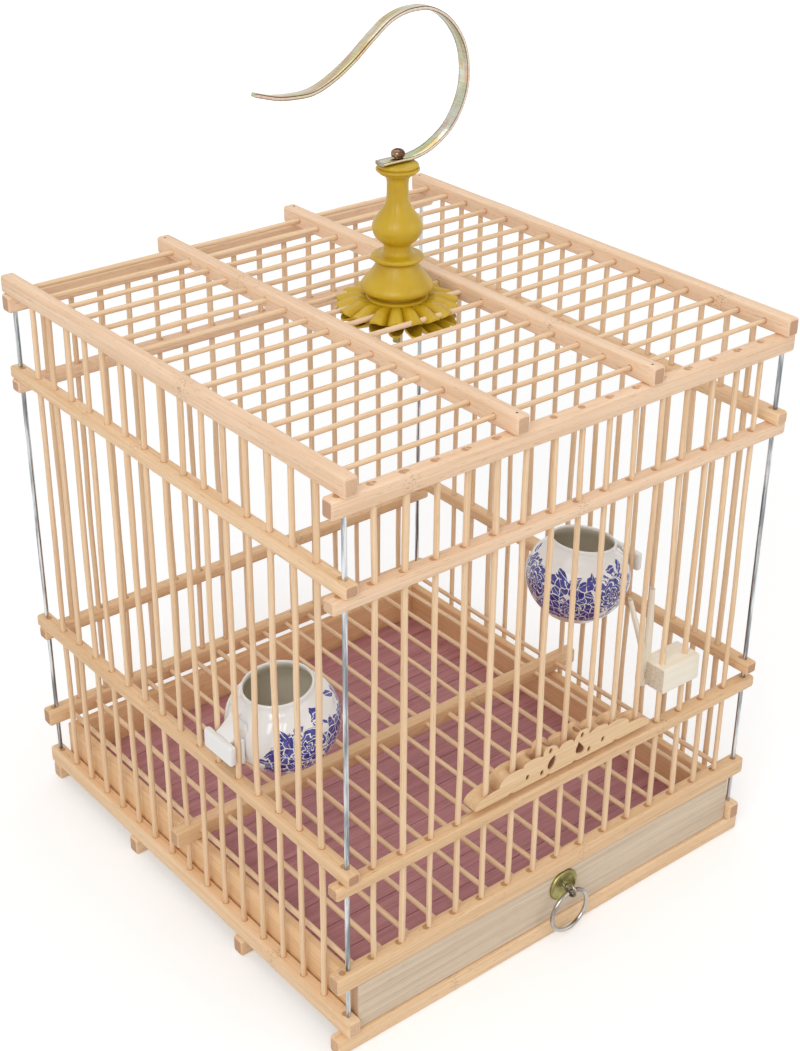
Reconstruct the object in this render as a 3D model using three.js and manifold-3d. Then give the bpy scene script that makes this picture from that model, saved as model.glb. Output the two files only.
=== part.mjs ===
// A square bamboo bird cage with a sliding bar door, a drawer, two porcelain cups and a hanging hook.
// Millimetres, +Z up. The front of the cage faces -Y. The origin is under the middle of the part.
import * as THREE from "three";
import { mergeVertices } from "three/addons/utils/BufferGeometryUtils.js";
import Module from "manifold-3d";

const wasm = await Module();
wasm.setup();

// Plan of the cage
const rodSpacingX = 220;
const rodSpacingY = 226;
const railPastRodX = 7;
const railPastRodY = 4.3;
const railWidth = 6.2;
const railChamfer = 0.7;

// Heights, from the table up
const baseBeamHeight = 8;
const baseRailHeight = 8;
const drawerWindow = 16;
const floorBeamHeight = 8;
const floorToWaist = 38.8;
const thinRailHeight = 5.5;
const rightWaistLift = 3.6;
const waistToUpper = 113.6;
const upperToTop = 25.6;
const topRailHeight = 7.5;

// Base beams between the front and the back one
const innerBeamSpacing = 84;

// Bars, dowels and corner rods
const barCount = 15;
const rodToBarX = 12.7;
const rodToBarY = 15.7;
const barRadius = 1.25;
const barSides = 6;
const roofDowelCount = 16;
const rodToRoofDowel = 8;
const roofDowelRadius = 0.95;
const roofRailOffset = 34;
const floorDowelCount = 16;
const rodToFloorDowel = 5.75;
const floorDowelRadius = 1.2;
const floorDowelDepth = 3.4;
const dowelSides = 6;
const rodRadius = 1;
const rodSides = 8;
const holePlay = 0.12;
const seatGap = 0.1;
const runningGap = 0.3;

// Sliding door in the front
const doorHalfCount = 3;
const ornamentPastBar = 6.8;
const ornamentHeight = 16.9;
const ornamentDepth = 7.5;
const ornamentSetBack = 0.9;
const doorSocketDepth = 4;
const ornamentHoleRadius = 1;
const ornamentHoleSides = 6;
const teardropLength = 5.4;
const teardropRadius = 1.3;
const ornamentRecessHeight = 3.2;
const ornamentRecessDepth = 2;

// Drawer
const drawerSideGap = 0.6;
const drawerLift = 0.3;
const drawerFrontThickness = 5;
const drawerFrontSetBack = 1.2;
const drawerFrontTopGap = 0.5;
const drawerWall = 4;
const drawerWallHeight = 22;
const drawerBackGap = 2.5;
const drawerBottomThickness = 2;
const matThickness = 1.6;
const matPlay = 0.5;

// Ring pull on the drawer
const pullOffsetX = 3;
const pullHeight = 24.2;
const plateRadius = 7.5;
const plateRim = 1.3;
const plateThickness = 0.8;
const plateDish = 0.9;
const eyeWireRadius = 0.7;
const eyeHoleRadius = 2;
const eyeStandOff = 1;
const shankRadius = 0.8;
const ringWireRadius = 0.95;
const ringRadius = 9.9;
const ringSegments = 20;
const eyeSegments = 12;
const wireSides = 6;

// Cups
const cupHeight = 37;
const cupBellyRadius = 24;
const cupRimRadius = 15;
const cupFootRadius = 12.5;
const cupWall = 1.8;
const cupFloor = 3;
const cupTilt = Math.PI / 24;
const mouthAboveWaist = 31.2;
const rightCupLift = 3.8;
const mouthToBars = 25;
const cupPitchCount = 2.5;
const cupSegments = 16;
const lugBelowMouth = 14;
const lugHeight = 9;
const lugNeckPlay = 0.4;
const lugHeadHalfWidth = 9.5;
const lugHeadThickness = 3.2;
const lugFlangeHalfWidth = 7.4;
const lugFlangeThickness = 2.2;
const lugFlangeDrop = 3;
const lugGroovePlay = 0.5;
const lugShoulder = 6;
const lugShoulderRise = 4;
const lugRootBelowMouth = 2;

// Finial, its two petal plates and the fasteners
const finialX = 3.5;
const finialHeight = 56;
const finialCapRadius = 8.75;
const finialNeckRadius = 4.4;
const finialBulbRadius = 10.2;
const finialWaistRadius = 5.5;
const finialCollarRadius = 10.7;
const finialBellRadius = 14.8;
const finialDiscRadius = 12.2;
const finialSegments = 16;
const petalCount = 18;
const petalPlateRadius = 25;
const petalHubRadius = 11;
const petalPlateThickness = 0.9;
const petalScallop = 3.6;
const petalCrest = 1.5;
const lowerPlateDrop = 2.6;
const lowerPlateTilt = Math.PI / 30;
const petalAngles = 3;
const notchSharpness = 3;
const plateHoleRadius = 2.2;
const studRadius = 1.6;
const studDrop = 8;
const nutAcross = 6;
const nutSides = 6;
const nutHeight = 2.6;
const nutDrop = 0.6;
const screwShankRadius = 1.5;
const screwHeadRadius = 2.85;
const screwHeadHeight = 3;
const screwLength = 14;
const screwPlay = 0.25;
const screwSides = 12;

// Hook
const stripWidth = 5.6;
const stripThickness = 0.9;
const stripCrown = 1;
const tabBehindScrew = 10.9;
const tabAheadOfScrew = 6;
const hookBulge = 33.3;
const hookRise = 56.3;
const hookTipReach = 67.5;
const hookSteps = 26;

// Food clip on the front bars
const clipPitchCount = 4;
const clipRim = 3;
const clipEdge = 4.6;
const clipHeight = 12;
const clipFrontReach = 4.5;
const clipBackReach = 9;
const clipAboveWaist = 16.7;
const forkThickness = 3.2;
const forkReach = 12.6;
const forkHeight = 46;

const weldTolerance = 1e-4;
const cutOverrun = 1;

// Levels and planes that the sizes above give
const baseBeamTop = baseBeamHeight;
const baseRailTop = baseBeamTop + baseRailHeight;
const floorBottom = baseRailTop + drawerWindow;
const floorTop = floorBottom + floorBeamHeight;
const waistBottom = floorTop + floorToWaist;
const waistMiddle = waistBottom + thinRailHeight;
const waistTop = waistMiddle + thinRailHeight;
const upperBottom = waistTop + waistToUpper;
const upperMiddle = upperBottom + thinRailHeight;
const upperTop = upperMiddle + thinRailHeight;
const topBottom = upperTop + upperToTop;
const topMiddle = topBottom + topRailHeight;
const topTop = topMiddle + topRailHeight;
const sideX = rodSpacingX / 2;
const frontY = rodSpacingY / 2;
const railLengthX = rodSpacingX + 2 * railPastRodX;
const railLengthY = rodSpacingY + 2 * railPastRodY;
const roofDowelZ = topMiddle + topRailHeight / 2;
const floorDowelZ = floorTop - floorDowelDepth;
const halfRail = railWidth / 2;

// Bars and dowels share out the room between the corner rods
const barPitchX = (rodSpacingX - 2 * rodToBarX) / (barCount - 1);
const barPitchY = (rodSpacingY - 2 * rodToBarY) / (barCount - 1);
const roofDowelPitch = (rodSpacingY - 2 * rodToRoofDowel) / (roofDowelCount - 1);
const floorDowelPitch = (rodSpacingX - 2 * rodToFloorDowel) / (floorDowelCount - 1);

// Offsets of a centred row of copies
function row(count, pitch) {
  const places = [];
  for (let i = 0; i < count; i += 1) {
    places.push((i - (count - 1) / 2) * pitch);
  }
  return places;
}
const barPlacesX = row(barCount, barPitchX);
const barPlacesY = row(barCount, barPitchY);
const roofPlaces = row(roofDowelCount, roofDowelPitch);
const floorPlaces = row(floorDowelCount, floorDowelPitch);
const doorReach = (doorHalfCount + 1 / 2) * barPitchX;
const doorPlaces = barPlacesX.filter((x) => Math.abs(x) < doorReach);
const fixedPlaces = barPlacesX.filter((x) => Math.abs(x) > doorReach);

// Closed geometries as solids, and back
function solid(geometry) {
  const bare = geometry.clone();
  bare.deleteAttribute("normal");
  bare.deleteAttribute("uv");
  const merged = mergeVertices(bare, weldTolerance);
  const index = merged.index.array;
  return new wasm.Manifold(
    new wasm.Mesh({
      numProp: 3,
      vertProperties: merged.attributes.position.array,
      triVerts: new Uint32Array(index),
    }),
  );
}

function geometryOf(body) {
  const mesh = body.getMesh();
  const geometry = new THREE.BufferGeometry();
  geometry.setAttribute("position", new THREE.BufferAttribute(mesh.vertProperties, 3));
  geometry.setIndex(new THREE.BufferAttribute(mesh.triVerts, 1));
  geometry.computeVertexNormals();
  return geometry;
}

function joined(bodies) {
  return bodies.reduce((whole, body) => whole.add(body));
}

function without(body, cutters) {
  return cutters.reduce((rest, cutter) => rest.subtract(cutter), body);
}

// Plain forms
function block(lowX, highX, lowY, highY, lowZ, highZ) {
  const box = new THREE.BoxGeometry(highX - lowX, highY - lowY, highZ - lowZ);
  box.translate((lowX + highX) / 2, (lowY + highY) / 2, (lowZ + highZ) / 2);
  return solid(box);
}

function uprightGeometry(radius, height, sides) {
  const round = new THREE.CylinderGeometry(radius, radius, height, sides);
  round.rotateX(Math.PI / 2);
  round.translate(0, 0, height / 2);
  return round;
}

function upright(x, y, lowZ, highZ, radius, sides) {
  return solid(uprightGeometry(radius, highZ - lowZ, sides).translate(x, y, lowZ));
}

function alongX(lowX, highX, y, z, radius, sides) {
  const round = new THREE.CylinderGeometry(radius, radius, highX - lowX, sides);
  round.rotateZ(-Math.PI / 2);
  return solid(round.translate((lowX + highX) / 2, y, z));
}

function alongY(lowY, highY, x, z, radius, sides) {
  const round = new THREE.CylinderGeometry(radius, radius, highY - lowY, sides);
  return solid(round.translate(x, (lowY + highY) / 2, z));
}

function turned(profile, segments) {
  const points = profile.map(([radius, height]) => new THREE.Vector2(radius, height));
  return new THREE.LatheGeometry(points, segments).rotateX(Math.PI / 2);
}

// Rails with chamfered long edges, centred on their length, standing on z = 0
function railSection(height) {
  const section = new THREE.Shape();
  section.moveTo(-halfRail + railChamfer, 0);
  section.lineTo(halfRail - railChamfer, 0);
  section.lineTo(halfRail, railChamfer);
  section.lineTo(halfRail, height - railChamfer);
  section.lineTo(halfRail - railChamfer, height);
  section.lineTo(-halfRail + railChamfer, height);
  section.lineTo(-halfRail, height - railChamfer);
  section.lineTo(-halfRail, railChamfer);
  section.closePath();
  return section;
}

function railGeometry(length, height) {
  const rail = new THREE.ExtrudeGeometry(railSection(height), { depth: length, bevelEnabled: false });
  rail.translate(0, 0, -length / 2);
  rail.rotateX(Math.PI / 2);
  return rail;
}

function railAlongY(x, bottomZ, height) {
  return solid(railGeometry(railLengthY, height).translate(x, 0, bottomZ));
}

function railAlongX(y, bottomZ, height) {
  return solid(railGeometry(railLengthX, height).rotateZ(Math.PI / 2).translate(0, y, bottomZ));
}

// Clearance holes for bars, rods and dowels
function barHole(x, y, lowZ, highZ) {
  return upright(x, y, lowZ, highZ, barRadius + holePlay, barSides);
}

function rodHoles(y, lowZ, highZ) {
  return [-sideX, sideX].map((x) => rodHole(x, y, lowZ, highZ));
}

function rodHole(x, y, lowZ, highZ) {
  return upright(x, y, lowZ - cutOverrun, highZ + cutOverrun, rodRadius + holePlay, rodSides);
}

function cornerHoles(x, lowZ, highZ) {
  return [-frontY, frontY].map((y) => rodHole(x, y, lowZ, highZ));
}

// Finishes
function bamboo() {
  return new THREE.MeshStandardMaterial({ color: 0xf0cea8, roughness: 0.6, metalness: 0 });
}

function tanBamboo() {
  return new THREE.MeshStandardMaterial({ color: 0xe8b87c, roughness: 0.6, metalness: 0 });
}

function paleWood() {
  return new THREE.MeshStandardMaterial({ color: 0xdccfae, roughness: 0.65, metalness: 0 });
}

function stainedMat() {
  return new THREE.MeshStandardMaterial({ color: 0xb17a7c, roughness: 0.7, metalness: 0 });
}

function brightSteel() {
  return new THREE.MeshStandardMaterial({ color: 0xc9ced2, roughness: 0.25, metalness: 1 });
}

function yellowZinc() {
  return new THREE.MeshStandardMaterial({ color: 0xcdbf8c, roughness: 0.3, metalness: 1 });
}

function copperyScrew() {
  return new THREE.MeshStandardMaterial({ color: 0xb98a5e, roughness: 0.25, metalness: 1 });
}

function dullBrass() {
  return new THREE.MeshStandardMaterial({ color: 0xa39a5e, roughness: 0.35, metalness: 1 });
}

function mustardPlastic() {
  return new THREE.MeshStandardMaterial({ color: 0xc9a52d, roughness: 0.4, metalness: 0 });
}

function porcelain() {
  return new THREE.MeshStandardMaterial({ color: 0xf1f1f4, roughness: 0.12, metalness: 0 });
}

// The scene: one group for what stands still, and one for each moving body
const cage = new THREE.Group();
const door = new THREE.Group();
const drawer = new THREE.Group();

function piece(group, name, geometry, material) {
  const mesh = new THREE.Mesh(geometry, material);
  mesh.name = name;
  group.add(mesh);
  return mesh;
}

function bodyPiece(group, name, body, material) {
  return piece(group, name, geometryOf(body), material);
}

// Top of the cage: two rails left to right, four rails front to back over them, and the roof dowels
function roofDowel(y, lowX, highX, radius) {
  return alongX(lowX, highX, y, roofDowelZ, radius, dowelSides);
}

const roofDowelEnd = sideX - halfRail - seatGap;

function topSideRail(side) {
  const x = side * sideX;
  return without(railAlongY(x, topMiddle, topRailHeight), cornerHoles(x, topMiddle, topTop));
}

function roofGrille() {
  const dowels = roofPlaces.map((y) => roofDowel(y, -roofDowelEnd, roofDowelEnd, roofDowelRadius));
  return joined([railAlongY(-roofRailOffset, topMiddle, topRailHeight), ...dowels]);
}

function roofRail() {
  const holes = roofPlaces.map((y) =>
    roofDowel(y, roofRailOffset - railWidth, roofRailOffset + railWidth, roofDowelRadius + holePlay),
  );
  return without(railAlongY(roofRailOffset, topMiddle, topRailHeight), holes);
}

function topFrontRail() {
  return without(railAlongX(-frontY, topBottom, topRailHeight), [
    ...rodHoles(-frontY, topBottom, topMiddle),
    ...doorPlaces.map((x) => barHole(x, -frontY, topBottom - cutOverrun, topMiddle + cutOverrun)),
  ]);
}

function topBackRail() {
  return without(railAlongX(frontY, topBottom, topRailHeight), rodHoles(frontY, topBottom, topMiddle));
}

bodyPiece(cage, "top_rail_left", topSideRail(-1), bamboo());
bodyPiece(cage, "roof_grille", roofGrille(), bamboo());
bodyPiece(cage, "top_rail_mid_right", roofRail(), bamboo());
bodyPiece(cage, "top_rail_right", topSideRail(1), bamboo());
bodyPiece(cage, "top_rail_front", topFrontRail(), bamboo());
bodyPiece(cage, "top_rail_back", topBackRail(), bamboo());

// Upper rails, a little below the top, with holes for every bar
function upperSideRail(side) {
  const x = side * sideX;
  return without(railAlongY(x, upperMiddle, thinRailHeight), [
    ...cornerHoles(x, upperMiddle, upperTop),
    ...barPlacesY.map((y) => barHole(x, y, upperMiddle - cutOverrun, upperTop + cutOverrun)),
  ]);
}

function upperCrossRail(y) {
  return without(railAlongX(y, upperBottom, thinRailHeight), [
    ...rodHoles(y, upperBottom, upperMiddle),
    ...barPlacesX.map((x) => barHole(x, y, upperBottom - cutOverrun, upperMiddle + cutOverrun)),
  ]);
}

bodyPiece(cage, "upper_rail_left", upperSideRail(-1), bamboo());
bodyPiece(cage, "upper_rail_right", upperSideRail(1), bamboo());
bodyPiece(cage, "upper_rail_front", upperCrossRail(-frontY), bamboo());
bodyPiece(cage, "upper_rail_back", upperCrossRail(frontY), bamboo());

// Grilles: the bars of each side, pinned in that side's waist rail
function sideBar(x, y) {
  return upright(x, y, baseRailTop + seatGap, topMiddle - seatGap, barRadius, barSides);
}

function frontBar(x, y) {
  return upright(x, y, floorTop + seatGap, topBottom - seatGap, barRadius, barSides);
}

function shortBar(x) {
  return upright(x, -frontY, floorTop + seatGap, waistBottom + barRadius, barRadius, barSides);
}

function sideGrille(side, lift) {
  const x = side * sideX;
  const rail = without(
    railAlongY(x, waistMiddle + lift, thinRailHeight),
    cornerHoles(x, waistMiddle + lift, waistTop + lift),
  );
  return joined([rail, ...barPlacesY.map((y) => sideBar(x, y))]);
}

function backGrille() {
  const rail = without(
    railAlongX(frontY, waistBottom, thinRailHeight),
    rodHoles(frontY, waistBottom, waistMiddle),
  );
  return joined([rail, ...barPlacesX.map((x) => frontBar(x, frontY))]);
}

function frontGrille() {
  const rail = without(
    railAlongX(-frontY, waistBottom, thinRailHeight),
    rodHoles(-frontY, waistBottom, waistMiddle),
  );
  return joined([
    rail,
    ...fixedPlaces.map((x) => frontBar(x, -frontY)),
    ...doorPlaces.map((x) => shortBar(x)),
  ]);
}

bodyPiece(cage, "left_grille", sideGrille(-1, 0), tanBamboo());
bodyPiece(cage, "right_grille", sideGrille(1, rightWaistLift), tanBamboo());
bodyPiece(cage, "back_grille", backGrille(), tanBamboo());
bodyPiece(cage, "front_grille", frontGrille(), tanBamboo());

// Slatted floor over the drawer: beams at the front, middle and back, and dowels front to back
function floorDowel(x, lowY, highY) {
  return alongY(lowY, highY, x, floorDowelZ, floorDowelRadius, dowelSides);
}

function floorBeam(y) {
  return without(railAlongX(y, floorBottom, floorBeamHeight), rodHoles(y, floorBottom, floorTop));
}

function floorGrille() {
  const beam = without(railAlongX(0, floorBottom, floorBeamHeight), [
    barHole(-sideX, 0, floorBottom - cutOverrun, floorTop + cutOverrun),
    barHole(sideX, 0, floorBottom - cutOverrun, floorTop + cutOverrun),
  ]);
  const end = frontY - halfRail - seatGap;
  return joined([beam, ...floorPlaces.map((x) => floorDowel(x, -end, end))]);
}

bodyPiece(cage, "floor_beam_front", floorBeam(-frontY), tanBamboo());
bodyPiece(cage, "floor_grille", floorGrille(), tanBamboo());
bodyPiece(cage, "floor_beam_back", floorBeam(frontY), tanBamboo());

// Base: two side rails that hold the feet of the side bars, on four beams
function baseRail(side) {
  const x = side * sideX;
  return without(railAlongY(x, baseBeamTop, baseRailHeight), cornerHoles(x, baseBeamTop, baseRailTop));
}

function baseBeam(y, holes) {
  return without(railAlongX(y, 0, baseBeamHeight), holes);
}

bodyPiece(cage, "base_rail_left", baseRail(-1), bamboo());
bodyPiece(cage, "base_rail_right", baseRail(1), bamboo());
bodyPiece(cage, "base_beam_front", baseBeam(-frontY, rodHoles(-frontY, 0, baseBeamTop)), bamboo());
bodyPiece(cage, "base_beam_mid_front", baseBeam(-innerBeamSpacing / 2, []), bamboo());
bodyPiece(cage, "base_beam_mid_back", baseBeam(innerBeamSpacing / 2, []), bamboo());
bodyPiece(cage, "base_beam_back", baseBeam(frontY, rodHoles(frontY, 0, baseBeamTop)), bamboo());

// Steel corner rods, flush with the roof rails and with the foot of the base
[
  ["corner_rod_front_left", -1, -1],
  ["corner_rod_front_right", 1, -1],
  ["corner_rod_back_left", -1, 1],
  ["corner_rod_back_right", 1, 1],
].forEach(([name, sideways, depthways]) => {
  const rod = piece(cage, name, uprightGeometry(rodRadius, topTop, rodSides), brightSteel());
  rod.position.set(sideways * sideX, depthways * frontY, 0);
});

// Door: a carved scroll with seven bars, sliding up through the upper and the top front rail
const ornamentHalfLength = doorHalfCount * barPitchX + ornamentPastBar;
const ornamentBottom = waistMiddle + runningGap;
const ornamentTop = ornamentBottom + ornamentHeight;
const ornamentFront = -frontY - halfRail + ornamentSetBack;

// Half of the scroll's top edge, as shares of its half length and of its height
const scrollTopShares = [
  [0, 0.9],
  [0.05, 0.87],
  [0.085, 0.77],
  [0.1, 0.84],
  [0.15, 0.97],
  [0.19, 1],
  [0.225, 0.99],
  [0.25, 0.94],
  [0.264, 0.79],
  [0.3, 0.83],
  [0.35, 0.86],
  [0.4, 0.86],
  [0.45, 0.84],
  [0.475, 0.8],
  [0.485, 0.74],
  [0.52, 0.76],
  [0.57, 0.77],
  [0.62, 0.76],
  [0.67, 0.72],
  [0.71, 0.66],
  [0.735, 0.59],
  [0.745, 0.5],
  [0.8, 0.49],
  [0.86, 0.47],
  [0.92, 0.43],
  [0.97, 0.36],
  [1, 0.25],
  [0.985, 0],
];
const scrollHoleShares = [
  [0.18, 0.84],
  [0.27, 0.32],
  [0.432, 0.4],
];
const teardropShares = [0.158, 0.49];

function scrollOutline() {
  const point = ([along, up]) => new THREE.Vector2(along * ornamentHalfLength, up * ornamentHeight);
  const rightTop = scrollTopShares.map(point);
  const leftTop = rightTop.slice(1).map((p) => new THREE.Vector2(-p.x, p.y));
  const outline = new THREE.Shape();
  outline.setFromPoints([...rightTop.reverse(), ...leftTop]);
  return outline;
}

function roundHole(x, z) {
  const corners = row(ornamentHoleSides, (2 * Math.PI) / ornamentHoleSides);
  const hole = new THREE.Path();
  hole.setFromPoints(
    corners.map((angle) => new THREE.Vector2(
      x + ornamentHoleRadius * Math.cos(angle),
      z + ornamentHoleRadius * Math.sin(angle),
    )),
  );
  return hole;
}

function teardropHole(x, z) {
  const hole = new THREE.Path();
  hole.moveTo(x, z + teardropLength / 2);
  hole.lineTo(x - teardropRadius, z - teardropRadius / 2);
  hole.lineTo(x - teardropRadius / 2, z - teardropLength / 2);
  hole.lineTo(x + teardropRadius / 2, z - teardropLength / 2);
  hole.lineTo(x + teardropRadius, z - teardropRadius / 2);
  hole.closePath();
  return hole;
}

// Height of the scroll's top edge above its foot, at a place along it
function scrollTopAt(x) {
  const share = Math.abs(x) / ornamentHalfLength;
  const next = scrollTopShares.findIndex(([along]) => along > share);
  const [lowAlong, lowUp] = scrollTopShares[next - 1];
  const [highAlong, highUp] = scrollTopShares[next];
  const between = (share - lowAlong) / (highAlong - lowAlong);
  return ornamentHeight * (lowUp + between * (highUp - lowUp));
}

function doorSocketFoot(x) {
  return ornamentBottom + scrollTopAt(x) - doorSocketDepth;
}

function doorOrnament() {
  const outline = scrollOutline();
  [-1, 1].forEach((side) => {
    scrollHoleShares.forEach(([along, up]) => {
      outline.holes.push(roundHole(side * along * ornamentHalfLength, up * ornamentHeight));
    });
    const [along, up] = teardropShares;
    outline.holes.push(teardropHole(side * along * ornamentHalfLength, up * ornamentHeight));
  });
  const carved = new THREE.ExtrudeGeometry(outline, { depth: ornamentDepth, bevelEnabled: false });
  carved.rotateX(Math.PI / 2);
  carved.translate(0, ornamentFront + ornamentDepth, ornamentBottom);
  const sockets = doorPlaces.map((x) =>
    barHole(x, -frontY, doorSocketFoot(x), ornamentTop + cutOverrun),
  );
  const recess = block(
    -railLengthX / 2,
    railLengthX / 2,
    ornamentFront - cutOverrun,
    ornamentFront + ornamentRecessDepth,
    ornamentBottom - cutOverrun,
    ornamentBottom + ornamentRecessHeight,
  );
  return without(solid(carved), [recess, ...sockets]);
}

bodyPiece(door, "door_ornament", doorOrnament(), bamboo());
doorPlaces.forEach((x, i) => {
  const foot = doorSocketFoot(x) + seatGap;
  const bar = uprightGeometry(barRadius, topMiddle - foot, barSides);
  piece(door, `door_bar_${i + 1}`, bar, bamboo()).position.set(x, -frontY, foot);
});

// Drawer, between the side rails of the base and over its beams
const drawerHalfWidth = sideX - halfRail - drawerSideGap;
const drawerBottomZ = baseBeamTop + drawerLift;
const drawerFrontY = -frontY - halfRail + drawerFrontSetBack;
const drawerInsideY = drawerFrontY + drawerFrontThickness;
const drawerBackY = frontY - drawerBackGap;
const drawerInsideHalf = drawerHalfWidth - drawerWall;
const drawerFloorTop = drawerBottomZ + drawerBottomThickness;

function drawerFront() {
  const panel = block(
    -drawerHalfWidth,
    drawerHalfWidth,
    drawerFrontY,
    drawerInsideY,
    drawerBottomZ,
    floorBottom - drawerFrontTopGap,
  );
  const shankHole = alongY(
    drawerFrontY - cutOverrun,
    drawerInsideY + cutOverrun,
    pullOffsetX,
    pullHeight,
    shankRadius + holePlay,
    rodSides,
  );
  return panel.subtract(shankHole);
}

function drawerSide(side) {
  const outer = side * drawerHalfWidth;
  const inner = side * drawerInsideHalf;
  return block(
    Math.min(outer, inner),
    Math.max(outer, inner),
    drawerInsideY,
    drawerBackY,
    drawerBottomZ,
    drawerBottomZ + drawerWallHeight,
  );
}

function drawerBack() {
  const inside = drawerInsideHalf;
  const top = drawerBottomZ + drawerWallHeight;
  return block(-inside, inside, drawerBackY - drawerWall, drawerBackY, drawerBottomZ, top);
}

function drawerBottom() {
  const inside = drawerInsideHalf;
  return block(-inside, inside, drawerInsideY, drawerBackY - drawerWall, drawerBottomZ, drawerFloorTop);
}

function drawerMat() {
  const inside = drawerInsideHalf - matPlay;
  const front = drawerInsideY + matPlay;
  const back = drawerBackY - drawerWall - matPlay;
  return block(-inside, inside, front, back, drawerFloorTop, drawerFloorTop + matThickness);
}

bodyPiece(drawer, "drawer_front", drawerFront(), paleWood());
bodyPiece(drawer, "drawer_side_left", drawerSide(-1), tanBamboo());
bodyPiece(drawer, "drawer_side_right", drawerSide(1), tanBamboo());
bodyPiece(drawer, "drawer_back", drawerBack(), tanBamboo());
bodyPiece(drawer, "drawer_bottom", drawerBottom(), tanBamboo());
bodyPiece(drawer, "drawer_mat", drawerMat(), stainedMat());

// Ring pull: dished plate, screw eye through the drawer front, and the ring that hangs in the eye
const plateBackY = drawerFrontY;
const eyeRadius = eyeHoleRadius + eyeWireRadius;
const eyeY = plateBackY - plateRim - eyeStandOff - eyeRadius;
const ringHang = eyeHoleRadius - ringWireRadius - holePlay;
const ringTopZ = pullHeight - ringHang;

function pullPlate() {
  const profile = [
    [shankRadius + holePlay, 0],
    [plateRadius, 0],
    [plateRadius, plateThickness],
    [plateRadius - plateRim, plateRim],
    [shankRadius + holePlay, plateDish],
    [shankRadius + holePlay, 0],
  ];
  const plate = turned(profile, finialSegments);
  plate.rotateX(Math.PI / 2);
  return plate;
}

function ringEye() {
  const loop = new THREE.TorusGeometry(eyeRadius, eyeWireRadius, wireSides, eyeSegments);
  loop.rotateY(Math.PI / 2);
  loop.translate(pullOffsetX, eyeY, pullHeight);
  const shank = alongY(eyeY + eyeRadius, drawerInsideY, pullOffsetX, pullHeight, shankRadius, rodSides);
  return solid(loop).add(shank);
}

const plate = piece(drawer, "ring_plate", pullPlate(), dullBrass());
plate.position.set(pullOffsetX, plateBackY, pullHeight);
bodyPiece(drawer, "ring_eye", ringEye(), brightSteel());

const ring = piece(
  cage,
  "pull_ring",
  new THREE.TorusGeometry(ringRadius, ringWireRadius, wireSides, ringSegments).rotateX(Math.PI / 2),
  brightSteel(),
);
ring.position.set(pullOffsetX, eyeY, ringTopZ - ringRadius);

// Porcelain cups: a round pot whose lug passes between two bars and grips them in its side grooves
const cupOffset = sideX - mouthToBars;
const cupY = -cupPitchCount * barPitchY;
const neckHalfWidth = barPitchY / 2 - barRadius - lugNeckPlay;
const grooveHalf = barRadius + lugGroovePlay;

// The pot's outside, as shares of the belly radius and of the height, from the foot to the rim
const potSideShares = [
  [0.73, 0.11],
  [0.87, 0.23],
  [0.965, 0.37],
  [1, 0.5],
  [0.975, 0.63],
  [0.89, 0.76],
  [0.73, 0.87],
  [0.64, 0.95],
];
const cupInsideShares = [
  [0.69, 0.88],
  [0.86, 0.76],
  [0.985, 0.5],
  [0.84, 0.22],
  [0.66, 0.1],
];

const cupInside = cupInsideShares.map(([r, h]) => [r * cupBellyRadius - cupWall, h * cupHeight]);

// A turned form of the pot, leaning about the middle of its mouth, which lies at the origin
function leaning(profile) {
  const form = turned(profile, cupSegments);
  form.translate(0, 0, -cupHeight);
  form.rotateY(cupTilt);
  return solid(form);
}

function pot() {
  return leaning([
    [0, 0],
    [cupFootRadius, 0],
    ...potSideShares.map(([r, h]) => [r * cupBellyRadius, h * cupHeight]),
    [cupRimRadius, cupHeight - cupWall / 2],
    [cupRimRadius - cupWall / 2, cupHeight],
    [cupRimRadius - cupWall, cupHeight - cupWall / 2],
    ...cupInside,
    [0, cupFloor],
  ]);
}

// The room inside the pot, which the lug's root must leave free
function potRoom() {
  const side = [...cupInside].reverse();
  const mouth = [cupRimRadius - cupWall, cupHeight];
  return leaning([[0, cupFloor], ...side, mouth, [0, cupHeight]]);
}

function lug() {
  const high = -lugBelowMouth;
  const low = high - lugHeight;
  const root = cupRimRadius - cupWall;
  const headInner = mouthToBars + grooveHalf;
  const headOuter = headInner + lugHeadThickness;
  const flangeOuter = mouthToBars - grooveHalf;
  const flangeInner = flangeOuter - lugFlangeThickness;
  const side = new THREE.Shape();
  side.moveTo(root, low);
  side.lineTo(headOuter, low);
  side.lineTo(headOuter, high);
  side.lineTo(headInner, high);
  side.lineTo(headInner - lugShoulder, high + lugShoulderRise);
  side.lineTo(root, -lugRootBelowMouth);
  side.closePath();
  const neck = new THREE.ExtrudeGeometry(side, { depth: 2 * neckHalfWidth, bevelEnabled: false });
  neck.translate(0, 0, -neckHalfWidth);
  neck.rotateX(Math.PI / 2);
  const head = block(headInner, headOuter, -lugHeadHalfWidth, lugHeadHalfWidth, low, high);
  const flangeHalf = lugFlangeHalfWidth;
  const flange = block(flangeInner, flangeOuter, -flangeHalf, flangeHalf, low - lugFlangeDrop, high);
  return joined([solid(neck), head, flange]);
}

const cupGeometry = geometryOf(pot().add(lug().subtract(potRoom())));
[
  ["cup_left", -1, 0],
  ["cup_right", 1, rightWaistLift + rightCupLift],
].forEach(([name, side, lift]) => {
  const cup = piece(cage, name, cupGeometry.clone(), porcelain());
  cup.rotation.z = side < 0 ? Math.PI : 0;
  cup.position.set(side * cupOffset, cupY, waistTop + lift + mouthAboveWaist);
});

// Finial on the roof, clamped to the dowels between two petal plates
const upperPlateBottom = roofDowelZ + roofDowelRadius + runningGap;
const upperPlateTop = upperPlateBottom + petalPlateThickness;
const lowerPlateTop = roofDowelZ - roofDowelRadius - runningGap - lowerPlateDrop;
const lowerPlateBottom = lowerPlateTop - petalPlateThickness;
const finialBottom = upperPlateTop + seatGap;

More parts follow.
